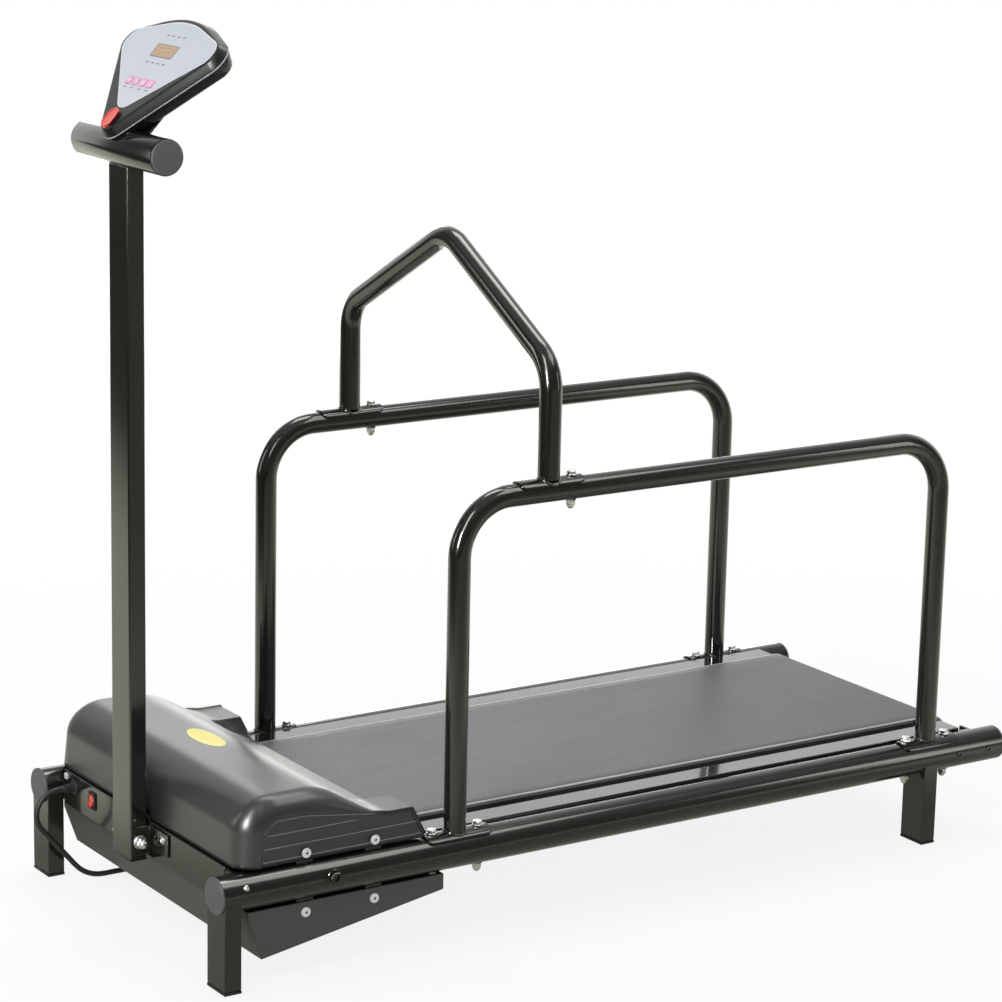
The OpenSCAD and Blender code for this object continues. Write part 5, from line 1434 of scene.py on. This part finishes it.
floorLook = {
    "colour": (0.93, 0.93, 0.93), "rough": 0.6, "reach": 9, "drop": 0.0005,
    "keep": 0.86, "clear": (1.0, 2.0),  # share of plain white by the machine, and where it grows to all
    # foot and its shine dim the floor's glow in glosses close round the machine, a painted shadow of the
    # machine
    "tint": (1.0, 0.99, 0.84), "near": (-2.4, 0.2), "nearShine": 0.30, "foot": (0.8, 1.1), "footShadowShine": 0.40,
    "ahead": (-2.3, -1.65), "aheadShine": 0.05,
}
worldLook = {
    "level": 0.42, "shine": 0.14, "behind": (0.6, 0.8), "backdrop": (0.42, 0.58), "skyline": (0.5, 0.85),
    "overhead": (0.45, 0.85), "zenith": 0.3,
}


def fade(w, value, span, ends):
    return w.node("ShaderNodeMapRange", {"interpolation_type": "SMOOTHSTEP"}, {
        "Value": value, "From Min": span[0], "From Max": span[1], "To Min": ends[0], "To Max": ends[1]})


def rayKinds(w):  # what is seen straight or through glass, and what is seen in a gloss
    rays = w.node("ShaderNodeLightPath").outputs()
    return w.sum("MAXIMUM", rays["Is Camera Ray"], rays["Is Transmission Ray"]), rays["Is Glossy Ray"]


def makeFloor(t):
    bm = bmesh.new()
    for x, y in ((-1, -1), (1, -1), (1, 1), (-1, 1)):
        bm.verts.new((x * t["reach"], y * t["reach"], 0))
    bm.faces.new(bm.verts)
    mesh = bpy.data.meshes.new("floor")
    bm.to_mesh(mesh)
    bm.free()
    floor = bpy.data.objects.new("floor", mesh)
    floor.location.z = -t["drop"]
    scene.collection.objects.link(floor)
    material = bpy.data.materials.new("floorWhite")
    material.use_nodes = True
    tree = material.node_tree
    shader = tree.nodes["Principled BSDF"]
    shader.inputs["Base Color"].default_value = (*t["colour"], 1)
    shader.inputs["Roughness"].default_value = t["rough"]
    w = Wire(tree)
    seen, shine = rayKinds(w)
    x, y, _ = parts(w)
    far = w.node("ShaderNodeVectorMath", {"operation": "LENGTH"}, {0: place(w)}, 1)
    clear = fade(w, far, t["clear"], (t["keep"], 1.0))
    # the glow seen in glosses is dimmed on the near side, ahead, and in a painted shadow round the machine
    back = fade(w, y, t["near"], (t["nearShine"], 1.0)) * fade(w, far, t["foot"], (t["footShadowShine"], 1.0))
    back = back * fade(w, x, t["ahead"], (t["aheadShine"], 1.0))
    tint = blendColour(w, shine, (1, 1, 1), t["tint"])
    glow = w.node("ShaderNodeEmission", None, {"Color": tint, "Strength": 1.0 - shine + shine * back})
    share = w.sum("MAXIMUM", seen * clear, shine)
    both = w.node("ShaderNodeMixShader", None, {0: share, 1: Wire(tree, shader.outputs[0]), 2: glow})
    tree.links.new(both.socket, tree.nodes["Material Output"].inputs["Surface"])
    mesh.materials.append(material)


def makeWorld(t):
    world = bpy.data.worlds.new("studio")
    scene.world = world
    world.use_nodes = True
    tree = world.node_tree
    w = Wire(tree)
    seen, shine = rayKinds(w)
    x, y, z = parts(w)
    behind = fade(w, x * t["behind"][0] + y * t["behind"][1], t["backdrop"], (t["shine"], 1.0))
    glint = t["shine"] + (behind - t["shine"]) * fade(w, z, t["skyline"], (1.0, 0.0))
    glint = glint + fade(w, z, t["overhead"], (0.0, t["zenith"]))
    strength = t["level"] + (1 - t["level"]) * seen + (glint - t["level"]) * shine
    tree.nodes["Background"].inputs["Color"].default_value = (1, 1, 1, 1)
    tree.links.new(strength.socket, tree.nodes["Background"].inputs["Strength"])


lampLook = {  # place, aim, width, height, power
    "keyLamp": ((-2.6, -1.6, 2.8), (-0.2, 0, 0.4), 0.7, 2.0, 40),
    "topLamp": ((0.5, 0.5, 3.2), (0.1, 0, 0.2), 2.0, 0.9, 34),
    "sideLamp": ((-3.0, 1.6, 1.4), (-0.4, 0, 0.4), 0.5, 1.8, 12),
    "backLamp": ((1.3, 3.2, 0.36), (-0.3, 0, 0.2), 3.2, 0.55, 20),
    "cornerLamp": ((-2.7, -1.4, 1.25), (-0.6, -0.25, 0.22), 0.22, 1.0, 85),
    "crestLamp": ((0.62, 2.46, 1.55), (-0.5, 0, 0.25), 1.1, 0.8, 6.5),
    "sheenLamp": ((0.7, -0.95, 2.3), (-0.5, -0.25, 0.25), 1.2, 0.9, 11),
    "stripLamp": ((2.6, -2.6, 1.3), (0, 0, 0.4), 0.35, 1.8, 8),
}
glintLamps = ("cornerLamp", "crestLamp", "sheenLamp")  # highlights on the hood and no more


def makeLamps(lamps):
    for name, (spot, aim, wide, tall, power) in lamps.items():
        data = bpy.data.lights.new(name, "AREA")
        data.shape, data.size, data.size_y, data.energy = "RECTANGLE", wide, tall, power
        lamp = bpy.data.objects.new(name, data)
        lamp.location = spot
        lamp.rotation_euler = (Vector(aim) - Vector(spot)).to_track_quat("-Z", "Y").to_euler()
        lamp.visible_camera = False
        lamp.visible_diffuse = name not in glintLamps
        scene.collection.objects.link(lamp)


makeFloor(floorLook)
makeWorld(worldLook)
makeLamps(lampLook)
scene.view_settings.view_transform = "Standard"
print("stage and lamps set")
